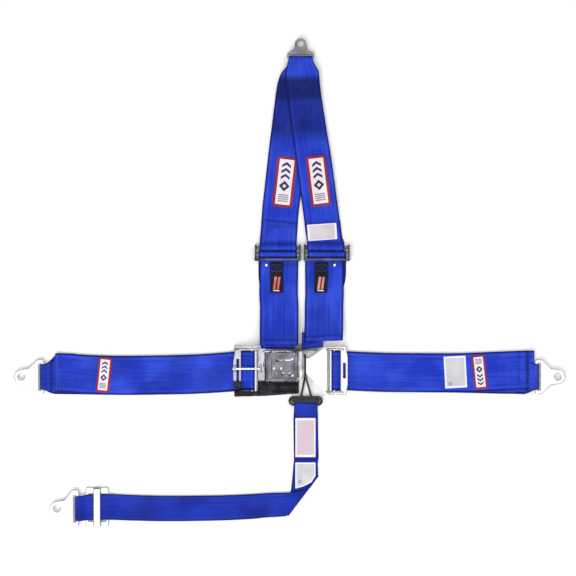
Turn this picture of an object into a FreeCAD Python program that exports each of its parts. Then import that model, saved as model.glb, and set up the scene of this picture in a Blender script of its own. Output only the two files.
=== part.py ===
"""Five-point racing harness with a lever latch, lying flat on its back, in millimetres.

+X points to the right lap belt, +Y to the shoulder anchor, +Z up from the floor.
"""
import FreeCAD, Part
import Sketcher
import math
import os

DIMENSIONS = (
    # webbing
    ("wide_webbing", "76.2"),
    ("narrow_webbing", "50.8"),
    ("webbing_thickness", "1.6"),
    ("floor_gap", "0.3"),
    ("patch_thickness", "0.6"),
    # loops of webbing round a bar
    ("loop_inner", "3.3"),
    ("loop_outer", "4.9"),
    ("loop_axis_height", "5.2"),
    ("bar_width", "5"),
    ("plate_thickness", "3"),
    ("slot_width", "5"),
    # bolt-in anchors
    ("bolt_hole", "13"),
    ("anchor_slot_half", "26"),
    ("anchor_loop_width", "50"),
    ("lap_anchor_x", "474"),
    ("lap_anchor_y", "-180"),
    ("lap_hole_reach", "41"),
    ("lap_tip_radius", "14"),
    ("lap_flare_half", "33"),
    ("shoulder_anchor_x", "21.5"),
    ("shoulder_anchor_y", "431"),
    ("shoulder_hole_reach", "27.5"),
    ("shoulder_tip_radius", "11"),
    ("shoulder_flare_half", "25.5"),
    ("shoulder_slot_half", "22"),
    ("sub_anchor_x", "-407"),
    ("sub_anchor_y", "-433"),
    ("sub_hole_reach", "39.5"),
    ("sub_flare_half", "36"),
    # lap adjusters
    ("cross_bar_radius", "3"),
    ("lap_adjuster_y", "-168"),
    ("lap_rail_inner", "39.4"),
    ("left_cross_bar_x", "-72"),
    ("right_cross_bar_x", "86"),
    ("outer_bar_height", "7"),
    ("flange_height", "17"),
    # latch
    ("hinge_x", "-42.5"),
    ("hinge_height", "12"),
    ("hinge_pin_radius", "3"),
    ("hinge_fit", "0.05"),
    ("lever_middle_y", "-160.5"),
    ("lever_width", "55"),
    ("lever_end_x", "15"),
    ("lever_underside", "17"),
    ("lever_skin", "2.5"),
    ("roll_x", "21.2"),
    ("roll_height", "19"),
    ("roll_radius", "6.4"),
    ("rod_height", "13"),
    ("rod_radius", "2.5"),
    ("rod_y", "-164"),
    # tongue of the link
    ("tongue_height", "6"),
    ("tongue_end_x", "-20"),
    ("tongue_width", "31"),
    ("tongue_middle_y", "-159.5"),
    # shoulder adjusters
    ("adjuster_y", "45"),
    ("left_adjuster_x", "-22.7"),
    ("right_adjuster_x", "71.5"),
    ("slide_bar_offset", "12"),
    ("top_bar_offset", "23"),
    ("slide_bar_radius", "2.5"),
    ("slide_travel", "2.5"),
    ("cheek_half", "41"),
    ("adjuster_loop_width", "73"),
    ("tail_width", "74"),
    ("tab_width", "25"),
    ("tab_length", "59"),
    ("adjuster_bar_half", "46.5"),
    # shoulder tips
    ("tip_bar_y", "-121.5"),
    ("left_tip_loop", "36"),
    ("right_tip_loop", "26"),
    ("left_tip_x", "12"),
    ("right_tip_x", "17"),
    # crotch loop
    ("crotch_x", "30"),
    ("crotch_bar_y", "-233.8"),
    ("crotch_bar_height", "4.5"),
    ("crotch_wire", "2.2"),
    ("crotch_loop_width", "45"),
    ("tongue_wire", "2"),
    ("sub_strap_x", "31"),
    ("sub_adjuster_x", "-369.5"),
    ("sub_level", "3.6"),
    ("sub_loop_width", "46"),
    ("sub_adjuster_half", "38.5"),
)


def number(size):
    return size.value if isinstance(size, Size) else float(size)


def text(size):
    return size.text if isinstance(size, Size) else repr(float(size))


class Size:
    """A length: its value, and the spreadsheet expression that gives it."""

    def __init__(self, value, expression):
        self.value = value
        self.text = expression

    def __add__(self, other):
        return Size(self.value + number(other), f"({self.text} + {text(other)})")

    def __sub__(self, other):
        return Size(self.value - number(other), f"({self.text} - {text(other)})")

    def __mul__(self, factor):
        return Size(self.value * number(factor), f"({self.text} * {text(factor)})")

    def __truediv__(self, factor):
        return Size(self.value / number(factor), f"({self.text} / {text(factor)})")

    def __neg__(self):
        return Size(-self.value, f"(0 - {self.text})")


def make_sheet():
    sheet = doc.addObject("Spreadsheet::Sheet", "Dims")
    for row, (alias, value) in enumerate(DIMENSIONS, 1):
        sheet.set(f"A{row}", alias)
        sheet.set(f"B{row}", value)
        sheet.setAlias(f"B{row}", alias)
    doc.recompute()
    return sheet


def dim(alias):
    return Size(float(sheet.get(alias)), f"Dims.{alias}")


def place(part, x=0.0, y=0.0, z=0.0, turn=0.0):
    """Bind a sub-part's place to the sheet; turn is in degrees about +Z."""
    part.Placement = FreeCAD.Placement(
        FreeCAD.Vector(number(x), number(y), number(z)),
        FreeCAD.Rotation(FreeCAD.Vector(0, 0, 1), turn),
    )
    for axis, size in (("x", x), ("y", y), ("z", z)):
        if isinstance(size, Size):
            part.setExpression(f"Placement.Base.{axis}", size.text)
    subparts.append(part)
    return part


def new_body(label):
    body = doc.addObject("PartDesign::Body", label)
    body.Label = label
    return body


def new_sketch(body, plane, offset=0.0):
    """A sketch on one of the body's own origin planes, moved along that plane's normal."""
    sketch = body.newObject("Sketcher::SketchObject", f"{body.Label}_sketch")
    for feature in body.Origin.OriginFeatures:
        if feature.Role == plane:
            sketch.AttachmentSupport = (feature, [""])
    sketch.MapMode = "FlatFace"
    sketch.AttachmentOffset = FreeCAD.Placement(
        FreeCAD.Vector(0, 0, number(offset)), FreeCAD.Rotation()
    )
    if isinstance(offset, Size):
        sketch.setExpression("AttachmentOffset.Base.z", offset.text)
    return sketch


def bind_constraint(sketch, index, size):
    if isinstance(size, Size):
        sketch.setExpression(f"Constraints[{index}]", size.text)


def fix_point(sketch, geometry, position, u, v):
    """Tie one point of a sketch to the sheet by its two distances from the origin."""
    for kind, size, axis in (("DistanceX", u, -2), ("DistanceY", v, -1)):
        if abs(number(size)) < 1e-9:
            sketch.addConstraint(
                Sketcher.Constraint("PointOnObject", geometry, position, axis)
            )
            continue
        index = sketch.addConstraint(
            Sketcher.Constraint(kind, -1, 1, geometry, position, number(size))
        )
        bind_constraint(sketch, index, size)


def draw_outline(sketch, corners):
    """A closed outline of straight edges through its corners."""
    first = sketch.GeometryCount
    count = len(corners)
    points = [FreeCAD.Vector(number(u), number(v), 0) for u, v in corners]
    for i in range(count):
        sketch.addGeometry(Part.LineSegment(points[i], points[(i + 1) % count]), False)
    for i in range(count):
        following = first + (i + 1) % count
        sketch.addConstraint(
            Sketcher.Constraint("Coincident", first + i, 2, following, 1)
        )
    for i, (u, v) in enumerate(corners):
        fix_point(sketch, first + i, 1, u, v)
    return sketch


def draw_circle(sketch, u, v, radius):
    centre = FreeCAD.Vector(number(u), number(v), 0)
    circle = Part.Circle(centre, FreeCAD.Vector(0, 0, 1), number(radius))
    index = sketch.addGeometry(circle, False)
    fix_point(sketch, index, 3, u, v)
    bound = sketch.addConstraint(Sketcher.Constraint("Radius", index, number(radius)))
    bind_constraint(sketch, bound, radius)
    return sketch


def rectangle(u0, v0, u1, v1):
    return [(u0, v0), (u1, v0), (u1, v1), (u0, v1)]


def pad(body, sketch, length, symmetric=False, reverse=False):
    feature = body.newObject("PartDesign::Pad", f"{body.Label}_pad")
    feature.Profile = sketch
    feature.Length = number(length)
    if isinstance(length, Size):
        feature.setExpression("Length", length.text)
    feature.SideType = "Symmetric" if symmetric else "One side"
    feature.Reversed = reverse
    feature.Refine = False
    doc.recompute()
    return feature


def pocket(body, sketch, length, symmetric=False, reverse=False):
    """Cut a sketch out of the body, and check that it took something away."""
    before = body.Shape.Volume
    feature = body.newObject("PartDesign::Pocket", f"{body.Label}_pocket")
    feature.Profile = sketch
    feature.Length = number(length)
    if isinstance(length, Size):
        feature.setExpression("Length", length.text)
    feature.SideType = "Symmetric" if symmetric else "One side"
    feature.Reversed = reverse
    doc.recompute()
    if body.Shape.Volume > before - 1e-3:
        raise RuntimeError(f"{feature.Label} in {body.Label} cuts nothing")
    return feature


def round_edges(body, base, radius, chosen):
    """Fillet the edges of a feature that a test chooses."""
    names = [
        f"Edge{i}" for i, edge in enumerate(base.Shape.Edges, 1) if chosen(edge)
    ]
    feature = body.newObject("PartDesign::Fillet", f"{body.Label}_fillet")
    feature.Base = (base, names)
    feature.Radius = number(radius)
    doc.recompute()
    return feature


def upright(edge):
    """An edge that runs straight up."""
    if not isinstance(edge.Curve, Part.Line):
        return False
    return abs(edge.Curve.Direction.z) > 0.999


# ---- bolt-in anchors --------------------------------------------------------------------


def make_anchor(label, reach, tip_radius, flare_half, slot_half):
    """A flat plate: bar and slot for the webbing at x = 0, bolt hole at x = -reach."""
    body = new_body(label)
    edge = dim("bar_width") / 2
    flare = -(dim("slot_width") + edge + 3)
    waist = -(reach - tip_radius)
    sketch = new_sketch(body, "XY_Plane", -dim("plate_thickness") / 2)
    corners = [
        (edge, flare_half),
        (flare, flare_half),
        (waist, tip_radius + 2),
        (-reach, tip_radius),
        (-reach, -tip_radius),
        (waist, -(tip_radius + 2)),
        (flare, -flare_half),
        (edge, -flare_half),
    ]
    plate = pad(body, draw_outline(sketch, corners), dim("plate_thickness"))
    round_edges(body, plate, 4, lambda e: upright(e) and e.Vertexes[0].X > -number(reach) + 1)
    tip = new_sketch(body, "XY_Plane", -dim("plate_thickness") / 2)
    pad(body, draw_circle(tip, -reach, 0, tip_radius), dim("plate_thickness"))
    slot = new_sketch(body, "XY_Plane")
    far = -(edge + dim("slot_width"))
    draw_outline(slot, rectangle(far, -slot_half, -edge, slot_half))
    draw_circle(slot, -reach, 0, dim("bolt_hole") / 2)
    pocket(body, slot, dim("plate_thickness") * 2, symmetric=True)
    body.Tip = body.Group[-1]
    return body


def make_anchors():
    height = dim("loop_axis_height")
    lap = (dim("lap_hole_reach"), dim("lap_tip_radius"), dim("lap_flare_half"))
    left = make_anchor("lap_anchor_left", *lap, dim("anchor_slot_half"))
    place(left, -dim("lap_anchor_x"), dim("lap_anchor_y"), height)
    right = make_anchor("lap_anchor_right", *lap, dim("anchor_slot_half"))
    place(right, dim("lap_anchor_x"), dim("lap_anchor_y"), height, 180)
    shoulder = make_anchor(
        "shoulder_anchor",
        dim("shoulder_hole_reach"),
        dim("shoulder_tip_radius"),
        dim("shoulder_flare_half"),
        dim("shoulder_slot_half"),
    )
    place(shoulder, dim("shoulder_anchor_x"), dim("shoulder_anchor_y"), height, -90)
    sub = make_anchor(
        "sub_anchor",
        dim("sub_hole_reach"),
        dim("lap_tip_radius"),
        dim("sub_flare_half"),
        dim("anchor_slot_half"),
    )
    place(sub, dim("sub_anchor_x"), dim("sub_anchor_y"), height)


# ---- webbing ----------------------------------------------------------------------------


def add_ring(body, plane, offset, u, v, outer, inner, width, stretch=0.0):
    """A closed loop of webbing round a bar that runs along the plane's normal."""
    sketch = new_sketch(body, plane, offset)
    if number(stretch) == 0:
        draw_circle(sketch, u, v, outer)
        draw_circle(sketch, u, v, inner)
    else:
        draw_stadium(sketch, u, v, outer, stretch)
        draw_stadium(sketch, u, v, inner, stretch)
    return pad(body, sketch, width, symmetric=True)


def draw_stadium(sketch, u, v, radius, stretch):
    """A slot shape from u to u + stretch with round ends."""
    r = number(radius)
    a = number(u)
    b = a + number(stretch)
    level = number(v)
    up = FreeCAD.Vector(0, 0, 1)
    right = Part.Circle(FreeCAD.Vector(b, level, 0), up, r)
    left = Part.Circle(FreeCAD.Vector(a, level, 0), up, r)
    first = sketch.GeometryCount
    sketch.addGeometry(Part.ArcOfCircle(right, -math.pi / 2, math.pi / 2), False)
    top = (FreeCAD.Vector(b, level + r, 0), FreeCAD.Vector(a, level + r, 0))
    sketch.addGeometry(Part.LineSegment(*top), False)
    sketch.addGeometry(Part.ArcOfCircle(left, math.pi / 2, 3 * math.pi / 2), False)
    bottom = (FreeCAD.Vector(a, level - r, 0), FreeCAD.Vector(b, level - r, 0))
    sketch.addGeometry(Part.LineSegment(*bottom), False)
    joints = ((0, 2, 1, 1), (1, 2, 2, 1), (2, 2, 3, 1), (3, 2, 0, 1))
    for one, end, other, start in joints:
        sketch.addConstraint(
            Sketcher.Constraint("Tangent", first + one, end, first + other, start)
        )
    fix_point(sketch, first, 3, u + stretch, v)
    fix_point(sketch, first + 2, 3, u, v)
    bound = sketch.addConstraint(Sketcher.Constraint("Radius", first, r))
    bind_constraint(sketch, bound, radius)


def make_lap_strap(label, length, near_shift, far_shift):
    """A doubled belt from its anchor's bar at x = 0 to the latch's bar at x = length."""
    body = new_body(label)
    half = dim("wide_webbing") / 2
    end = dim("anchor_loop_width") / 2
    z = dim("floor_gap") - dim("loop_axis_height")
    start = dim("loop_outer") - 0.7
    slab = new_sketch(body, "XY_Plane", z)
    corners = [
        (start, -end),
        (start + 20, -half + near_shift),
        (length - start, -half + far_shift),
        (length - start, half + far_shift),
        (start + 20, half + near_shift),
        (start, end),
    ]
    pad(body, draw_outline(slab, corners), dim("webbing_thickness") * 2)
    outer = dim("loop_outer")
    inner = dim("loop_inner")
    add_ring(body, "XZ_Plane", 0.0, 0, 0, outer, inner, dim("anchor_loop_width"))
    add_ring(
        body, "XZ_Plane", -far_shift, length, 0, outer, inner, dim("wide_webbing")
    )
    body.Tip = body.Group[-1]
    return body


def make_lap_straps():
    height = dim("loop_axis_height")
    left_length = dim("lap_anchor_x") + dim("left_cross_bar_x")
    drop = dim("lap_adjuster_y") - dim("lap_anchor_y")
    left = make_lap_strap("lap_strap_left", left_length, dim("floor_gap") * 10, drop)
    place(left, -dim("lap_anchor_x"), dim("lap_anchor_y"), height)
    right_length = dim("lap_anchor_x") - dim("right_cross_bar_x")
    right = make_lap_strap(
        "lap_strap_right", right_length, -dim("floor_gap") * 10, -drop
    )
    place(right, dim("lap_anchor_x"), dim("lap_anchor_y"), height, 180)


def make_upper_strap(label, x_low, x_high, low_width, top_x, level, start):
    """A shoulder belt from its adjuster's top bar up to its half of the anchor's bar."""
    body = new_body(label)
    axis = dim("loop_axis_height")
    outer = dim("loop_outer")
    inner = dim("loop_inner")
    low_y = dim("adjuster_y") + dim("top_bar_offset")
    high_y = dim("shoulder_anchor_y")
    low = low_width / 2
    half = dim("wide_webbing") / 2
    ring = dim("shoulder_slot_half") / 2 - 0.8
    slab = new_sketch(body, "XY_Plane", level)
    corners = [
        (x_low - low, low_y + start),
        (x_low + low, low_y + start),
        (x_high + half, high_y - 30),
        (top_x + ring, high_y - start),
        (top_x - ring, high_y - start),
        (x_high - half, high_y - 30),
    ]
    pad(body, draw_outline(slab, corners), dim("webbing_thickness"))
    add_ring(body, "YZ_Plane", x_low, low_y, axis, outer, inner, low_width)
    add_ring(body, "YZ_Plane", top_x, high_y, axis, outer, inner, ring * 2)
    body.Tip = body.Group[-1]
    return body


def make_upper_straps():
    anchor = dim("shoulder_anchor_x")
    shift = dim("shoulder_slot_half") / 2
    low_level = dim("floor_gap") + 0.4
    high_level = low_level + dim("webbing_thickness") + 0.8
    left = make_upper_strap(
        "upper_strap_left",
        dim("left_adjuster_x"),
        anchor,
        dim("adjuster_loop_width"),
        anchor - shift,
        low_level,
        3.2,
    )
    place(left)
    right = make_upper_strap(
        "upper_strap_right",
        dim("right_adjuster_x"),
        anchor,
        dim("adjuster_loop_width"),
        anchor + shift,
        high_level,
        4.0,
    )
    place(right)


def make_lower_strap(label, x, tail_x, tip_x, tip_width, tail_end):
    """A belt from its tip's bar up round the slide bar, and down again as the free tail."""
    body = new_body(label)
    half = dim("wide_webbing") / 2
    bar_y = dim("adjuster_y") + dim("slide_bar_offset")
    tip_y = dim("tip_bar_y")
    thickness = dim("webbing_thickness")
    floor = dim("floor_gap")
    tip_half = tip_width / 2
    slab = new_sketch(body, "XY_Plane", floor)
    corners = [
        (tip_x - tip_half, tip_y + 3),
        (tip_x + tip_half, tip_y + 3),
        (x + half, dim("adjuster_y") - 20),
        (x + half, bar_y - 0.5),
        (x - half, bar_y - 0.5),
        (x - half, dim("adjuster_y") - 20),
    ]
    pad(body, draw_outline(slab, corners), thickness)
    tail = new_sketch(body, "YZ_Plane", tail_x)
    lift = floor + thickness + 0.3
    ramp = dim("adjuster_y") - 70
    top = dim("loop_axis_height") + dim("loop_outer") + 0.4
    crest = tip_y + 14
    tail_start = bar_y - dim("slide_travel") - 3
    profile = [
        (tail_start, lift),
        (ramp, lift),
        (crest, top),
        (tail_end, top),
        (tail_end, top + thickness),
        (crest, top + thickness),
        (ramp, lift + thickness),
        (tail_start, lift + thickness),
    ]
    pad(body, draw_outline(tail, profile), dim("tail_width"), symmetric=True)
    inner = dim("slide_bar_radius") + 0.3
    outer = inner + thickness
    axis = dim("loop_axis_height")
    travel = dim("slide_travel")
    add_ring(body, "YZ_Plane", x, bar_y - travel, axis, outer, inner, half * 2, travel)
    ring_outer = dim("loop_outer")
    add_ring(body, "YZ_Plane", tip_x, tip_y, axis, ring_outer, dim("loop_inner"), tip_width)
    body.Tip = body.Group[-1]
    return body


def make_lower_straps():
    left = make_lower_strap(
        "lower_strap_left",
        dim("left_adjuster_x"),
        dim("left_adjuster_x") + 3.2,
        dim("left_tip_x") - 22,
        dim("left_tip_loop"),
        dim("tip_bar_y") + 2.5,
    )
    place(left)
    right = make_lower_strap(
        "lower_strap_right",
        dim("right_adjuster_x"),
        dim("right_adjuster_x") - 3,
        dim("right_tip_x") + 20,
        dim("right_tip_loop"),
        dim("tip_bar_y") + 10,
    )
    place(right)


# ---- shoulder adjusters and tips -----------------------------------------------------------


def make_adjuster_frame(label, x):
    """Two cheeks joined by a bottom bar over the webbing and a top bar in its loop."""
    body = new_body(label)
    cheek = dim("cheek_half")
    top_y = dim("top_bar_offset")
    axis = dim("loop_axis_height")
    half_bar = dim("bar_width") / 2
    thin = dim("plate_thickness")
    profile = [
        (-half_bar, 1.5),
        (top_y + 4, 1.5),
        (top_y + 6, 7),
        (top_y + 1, 12.5),
        (top_y - 6, 10.5),
        (4, 8.5),
        (-half_bar, 7.2),
    ]
    for offset in (cheek, -(cheek + thin)):
        pad(body, draw_outline(new_sketch(body, "YZ_Plane", offset), profile), thin)
    bottom = new_sketch(body, "XY_Plane", axis - 1)
    reach = dim("adjuster_bar_half")
    corners = [
        (-cheek, -half_bar),
        (cheek, -half_bar),
        (reach, 0),
        (cheek, half_bar),
        (-cheek, half_bar),
        (-reach, 0),
    ]
    pad(body, draw_outline(bottom, corners), thin)
    top = new_sketch(body, "XY_Plane", axis - thin / 2)
    draw_outline(top, rectangle(-cheek, top_y - half_bar, cheek, top_y + half_bar))
    pad(body, top, thin)
    slot = new_sketch(body, "YZ_Plane")
    travel = dim("slide_travel")
    at = dim("slide_bar_offset") - travel
    draw_stadium(slot, at, axis, dim("slide_bar_radius") + 0.2, travel)
    pocket(body, slot, (cheek + thin) * 2.2, symmetric=True)
    body.Tip = body.Group[-1]
    return place(body, x, dim("adjuster_y"))


def make_slide_bar(label, x):
    """A round bar along X with a knurl of shallow grooves."""
    body = new_body(label)
    radius = dim("slide_bar_radius")
    sketch = new_sketch(body, "YZ_Plane")
    length = (dim("cheek_half") + 2.5) * 2
    pad(body, draw_circle(sketch, 0, 0, radius), length, symmetric=True)
    y = dim("adjuster_y") + dim("slide_bar_offset") - dim("slide_travel")
    return place(body, x, y, dim("loop_axis_height"))


def make_adjuster_rivets():
    """Two small rivets, one on each free tail just under its adjuster."""
    top = dim("floor_gap") + dim("webbing_thickness") * 2 + 0.3
    heads = []
    for name, x in (("left", dim("left_adjuster_x") - 21.8), ("right", dim("right_adjuster_x") + 15)):
        head = doc.addObject("Part::Cylinder", f"rivet_head_{name}")
        head.setExpression("Radius", "Dims.slide_bar_radius")
        head.Height = 1.2
        head.Placement.Base = FreeCAD.Vector(x.value, dim("adjuster_y").value - 10.5, top.value)
        head.setExpression("Placement.Base.x", x.text)
        head.setExpression("Placement.Base.y", (dim("adjuster_y") - 10.5).text)
        head.setExpression("Placement.Base.z", top.text)
        heads.append(head)
    group = doc.addObject("Part::Compound", "adjuster_rivets")
    group.Label = "adjuster_rivets"
    group.Links = heads
    return place(group)


def make_release_tab(label, x, length):
    """A flat pull tab with a round hinge end under the adjuster's bottom bar."""
    body = new_body(label)
    z = -dim("webbing_thickness") / 2
    half = dim("tab_width") / 2
    sketch = new_sketch(body, "XY_Plane", z)
    corners = [(-half, -length), (half, -length), (half, 0), (-half, 0)]
    plate = pad(body, draw_outline(sketch, corners), dim("webbing_thickness"))
    round_edges(body, plate, 3, lambda e: upright(e) and e.Vertexes[0].Y < -10)
    body.Tip = body.Group[-1]
    height = dim("floor_gap") + dim("webbing_thickness") * 2.5 + 0.7
    return place(body, x, dim("adjuster_y") - 5, height)


def make_tip(label, plate_x, side, loop_width):
    """A bent plate: a wing with the webbing's slot, and an upright with the tongue's slot."""
    body = new_body(label)
    thin = dim("plate_thickness")
    axis = dim("loop_axis_height")
    bar_y = dim("tip_bar_y")
    half_bar = dim("bar_width") / 2
    upright_sketch = new_sketch(body, "YZ_Plane", plate_x)
    middle = dim("tongue_middle_y")
    low = middle - dim("tongue_width") / 2
    high = middle + dim("tongue_width") / 2
    profile = [
        (low - 4.5, 2.5),
        (low - 3, 1),
        (high + 8, 1),
        (bar_y + half_bar, axis - thin / 2),
        (bar_y + half_bar, axis + thin / 2),
        (bar_y - 9.5, axis + thin / 2),
        (high + 2.5, 11.5),
        (low - 3, 11.5),
        (low - 4.5, 10),
    ]
    pad(body, draw_outline(upright_sketch, profile), thin)
    hole = new_sketch(body, "YZ_Plane", plate_x - 1)
    bottom = dim("tongue_height") - 0.5
    top = dim("tongue_height") + thin + 0.5
    draw_outline(hole, rectangle(low - 0.8, bottom, high + 0.8, top))
    pocket(body, hole, thin + 2, reverse=True)
    wing = new_sketch(body, "XY_Plane", axis - thin / 2)
    near = plate_x if side < 0 else plate_x + thin
    inner = near + side * 3
    outer = inner + (loop_width + 2) * side
    far = outer + side * 3
    back = bar_y - half_bar - dim("slot_width") - 1
    draw_outline(wing, rectangle(near - side * 1.0, back, far, bar_y + half_bar))
    pad(body, wing, thin)
    slot = new_sketch(body, "XY_Plane", axis)
    draw_outline(slot, rectangle(inner, back + 2.6, outer, bar_y - half_bar))
    pocket(body, slot, thin * 2, symmetric=True)
    body.Tip = body.Group[-1]
    return place(body)


def make_shoulder_hardware():
    for name, tab_shift in (("left", -2.2), ("right", -10.6)):
        x = dim(f"{name}_adjuster_x")
        make_adjuster_frame(f"adjuster_frame_{name}", x)
        make_slide_bar(f"adjuster_slide_bar_{name}", x)
        make_release_tab(f"release_tab_{name}", x + tab_shift, dim("tab_length"))
    make_adjuster_rivets()
    make_tip("shoulder_tip_left", dim("left_tip_x"), -1, dim("left_tip_loop"))
    make_tip("shoulder_tip_right", dim("right_tip_x"), 1, dim("right_tip_loop"))


# ---- latch ------------------------------------------------------------------------------


def add_flange(body, profile, y_high, thickness):
    """An upright plate in the XZ plane, from y_high down to y_high - thickness."""
    sketch = new_sketch(body, "XZ_Plane", -y_high)
    return pad(body, draw_outline(sketch, profile), thickness)


def lap_rails():
    """The upper and lower inner faces of the left adjuster's rails."""
    middle = dim("lap_adjuster_y")
    inner = dim("lap_rail_inner")
    return middle + inner, middle - inner


def edges_of(middle, width):
    """The upper and lower edges of a strip about a middle line."""
    return dim(middle) + dim(width) / 2, dim(middle) - dim(width) / 2


def add_latch_floor(body):
    """The pressing's floor: an open frame on the left, the housing's floor on the right."""
    high, low = lap_rails()
    outline = [
        (-106, high + 9),
        (-47, high + 9),
        (-44, -129.6),
        (9, -129.6),
        (9, -185),
        (18, -188),
        (18, -212),
        (-47, low - 9.5),
        (-106, low - 11),
        (-106, low),
        (-60.5, low),
        (-60.5, high),
        (-106, high),
    ]
    pad(body, draw_outline(new_sketch(body, "XY_Plane"), outline), dim("plate_thickness"))


def add_latch_rails(body):
    """The adjuster's two upright rails and its bowed outer bar."""
    thin = dim("plate_thickness")
    high, low = lap_rails()
    arch = [
        (-106, 0),
        (-58.6, 0),
        (-58.6, 15),
        (-62, dim("flange_height")),
        (-96, dim("flange_height")),
        (-106, 11),
    ]
    add_flange(body, arch, high + thin, thin)
    add_flange(body, arch, low, thin)
    bow = [
        (-104, high + 1.5),
        (-108, high - 24),
        (-108, low + 24),
        (-104, low - 1.5),
        (-93, low - 1.5),
        (-93, high + 1.5),
    ]
    bar = new_sketch(body, "XY_Plane", dim("outer_bar_height"))
    pad(body, draw_outline(bar, bow), thin)


def add_rod_supports(body):
    """The eye on the outer bar and the stand beside the housing that carry the adjuster's rod."""
    thin = dim("plate_thickness")
    rod_y = dim("rod_y")
    top = dim("rod_height") + 4.5
    for x, half, bottom in ((-106, 6, 9), (-57, 8, 1.5)):
        support = new_sketch(body, "YZ_Plane", x)
        draw_outline(support, rectangle(rod_y - half, bottom, rod_y + half, top))
        pad(body, support, thin)


def add_hinge_ears(body):
    """The lever's two ears."""
    thin = dim("plate_thickness")
    x = dim("hinge_x")
    top = dim("hinge_height") + 5.5
    ear = [(x - 8.5, 1.5), (x + 8.5, 1.5), (x + 5, top), (x - 5, top)]
    high, low = edges_of("lever_middle_y", "lever_width")
    add_flange(body, ear, high + 0.4 + thin, thin)
    add_flange(body, ear, low - 0.4, thin)


def add_tongue_guides(body):
    """Two low walls beside the link's tongue, and the raised ribs on the floor's lower edge."""
    thin = dim("plate_thickness")
    high, low = edges_of("tongue_middle_y", "tongue_width")
    guide = [(-24, 2), (8, 2), (8, 9.4), (-24, 9.4)]
    add_flange(body, guide, high + 0.4 + thin, thin)
    add_flange(body, guide, low - 0.4, thin)
    for rib in range(4):
        ridge = new_sketch(body, "XY_Plane", thin - 0.2)
        y = -194.5 - 5 * rib
        draw_outline(ridge, rectangle(-34, y - 1, 16, y + 1))
        pad(body, ridge, 1)


def cut_latch_openings(body):
    """The outer bar's slot, the rod's and the hinge pin's bores, and the slots of the bars."""
    thin = dim("plate_thickness")
    high, low = lap_rails()
    window = new_sketch(body, "XY_Plane", dim("outer_bar_height") - 1)
    draw_outline(window, rectangle(-101.5, low + 17, -97, high - 17))
    pocket(body, window, thin + 2, reverse=True)
    rod_hole = new_sketch(body, "YZ_Plane", -110)
    draw_circle(rod_hole, dim("rod_y"), dim("rod_height"), dim("rod_radius"))
    pocket(body, rod_hole, 58, reverse=True)
    lever_high = edges_of("lever_middle_y", "lever_width")[0]
    pin_hole = new_sketch(body, "XZ_Plane", -(lever_high + 6))
    draw_circle(pin_hole, dim("hinge_x"), dim("hinge_height"), dim("hinge_pin_radius"))
    pocket(body, pin_hole, dim("lever_width") + 14, reverse=True)
    slots = new_sketch(body, "XZ_Plane", -(high + 6))
    draw_circle(slots, dim("left_cross_bar_x"), dim("loop_axis_height"), dim("cross_bar_radius"))
    draw_outline(slots, rectangle(-67, 8.8, -60.6, 14.2))
    pocket(body, slots, high - low + 20, reverse=True)


def make_latch_base():
    """One pressing: open adjuster frame on the left, housing floor on the right."""
    body = new_body("latch_base")
    add_latch_floor(body)
    add_latch_rails(body)
    add_rod_supports(body)
    add_hinge_ears(body)
    add_tongue_guides(body)
    cut_latch_openings(body)
    body.Tip = body.Group[-1]
    return place(body)


def make_cross_bar(label, x):
    """The round bar in a lap adjuster that the belt is looped on."""
    body = new_body(label)
    sketch = new_sketch(body, "XZ_Plane")
    draw_circle(sketch, 0, 0, dim("cross_bar_radius"))
    pad(body, sketch, (dim("lap_rail_inner") + dim("plate_thickness")) * 2, symmetric=True)
    return place(body, x, dim("lap_adjuster_y"), dim("loop_axis_height"))


def make_lap_slide_bar(label, x, z, height, bored):
    """A flat bar on edge, with a narrow tab at each end and an eye for the rod."""
    body = new_body(label)
    half = dim("lap_rail_inner")
    blade = new_sketch(body, "XY_Plane")
    draw_outline(blade, rectangle(-2, -half + 0.5, 2, half - 0.5))
    pad(body, blade, height)
    tabs = new_sketch(body, "XY_Plane", 2.4)
    draw_outline(tabs, rectangle(-2, -half - 2.8, 2, half + 2.8))
    pad(body, tabs, 4.4)
    if bored:
        eye = new_sketch(body, "YZ_Plane", -4)
        rise = dim("rod_height") - z
        draw_circle(eye, dim("rod_y") - dim("lap_adjuster_y"), rise, dim("rod_radius") + 0.3)
        pocket(body, eye, 8, reverse=True)
    body.Tip = body.Group[-1]
    return place(body, x, dim("lap_adjuster_y"), z)


def make_adjuster_rod():
    """The guide rod of the left slide bar, with a round head outside the frame."""
    body = new_body("adjuster_rod")
    shank = new_sketch(body, "YZ_Plane", -106)
    pad(body, draw_circle(shank, dim("rod_y"), dim("rod_height"), dim("rod_radius")), 52)
    head = new_sketch(body, "YZ_Plane", -109)
    pad(body, draw_circle(head, dim("rod_y"), dim("rod_height"), dim("rod_radius") + 0.4), 3)
    body.Tip = body.Group[-1]
    return place(body)


def make_hinge_pin():
    body = new_body("lever_hinge_pin")
    sketch = new_sketch(body, "XZ_Plane")
    draw_circle(sketch, 0, 0, dim("hinge_pin_radius"))
    length = dim("lever_width") + (dim("plate_thickness") + 0.4) * 2
    pad(body, sketch, length, symmetric=True)
    return place(body, dim("hinge_x"), dim("lever_middle_y"), dim("hinge_height"))


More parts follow.
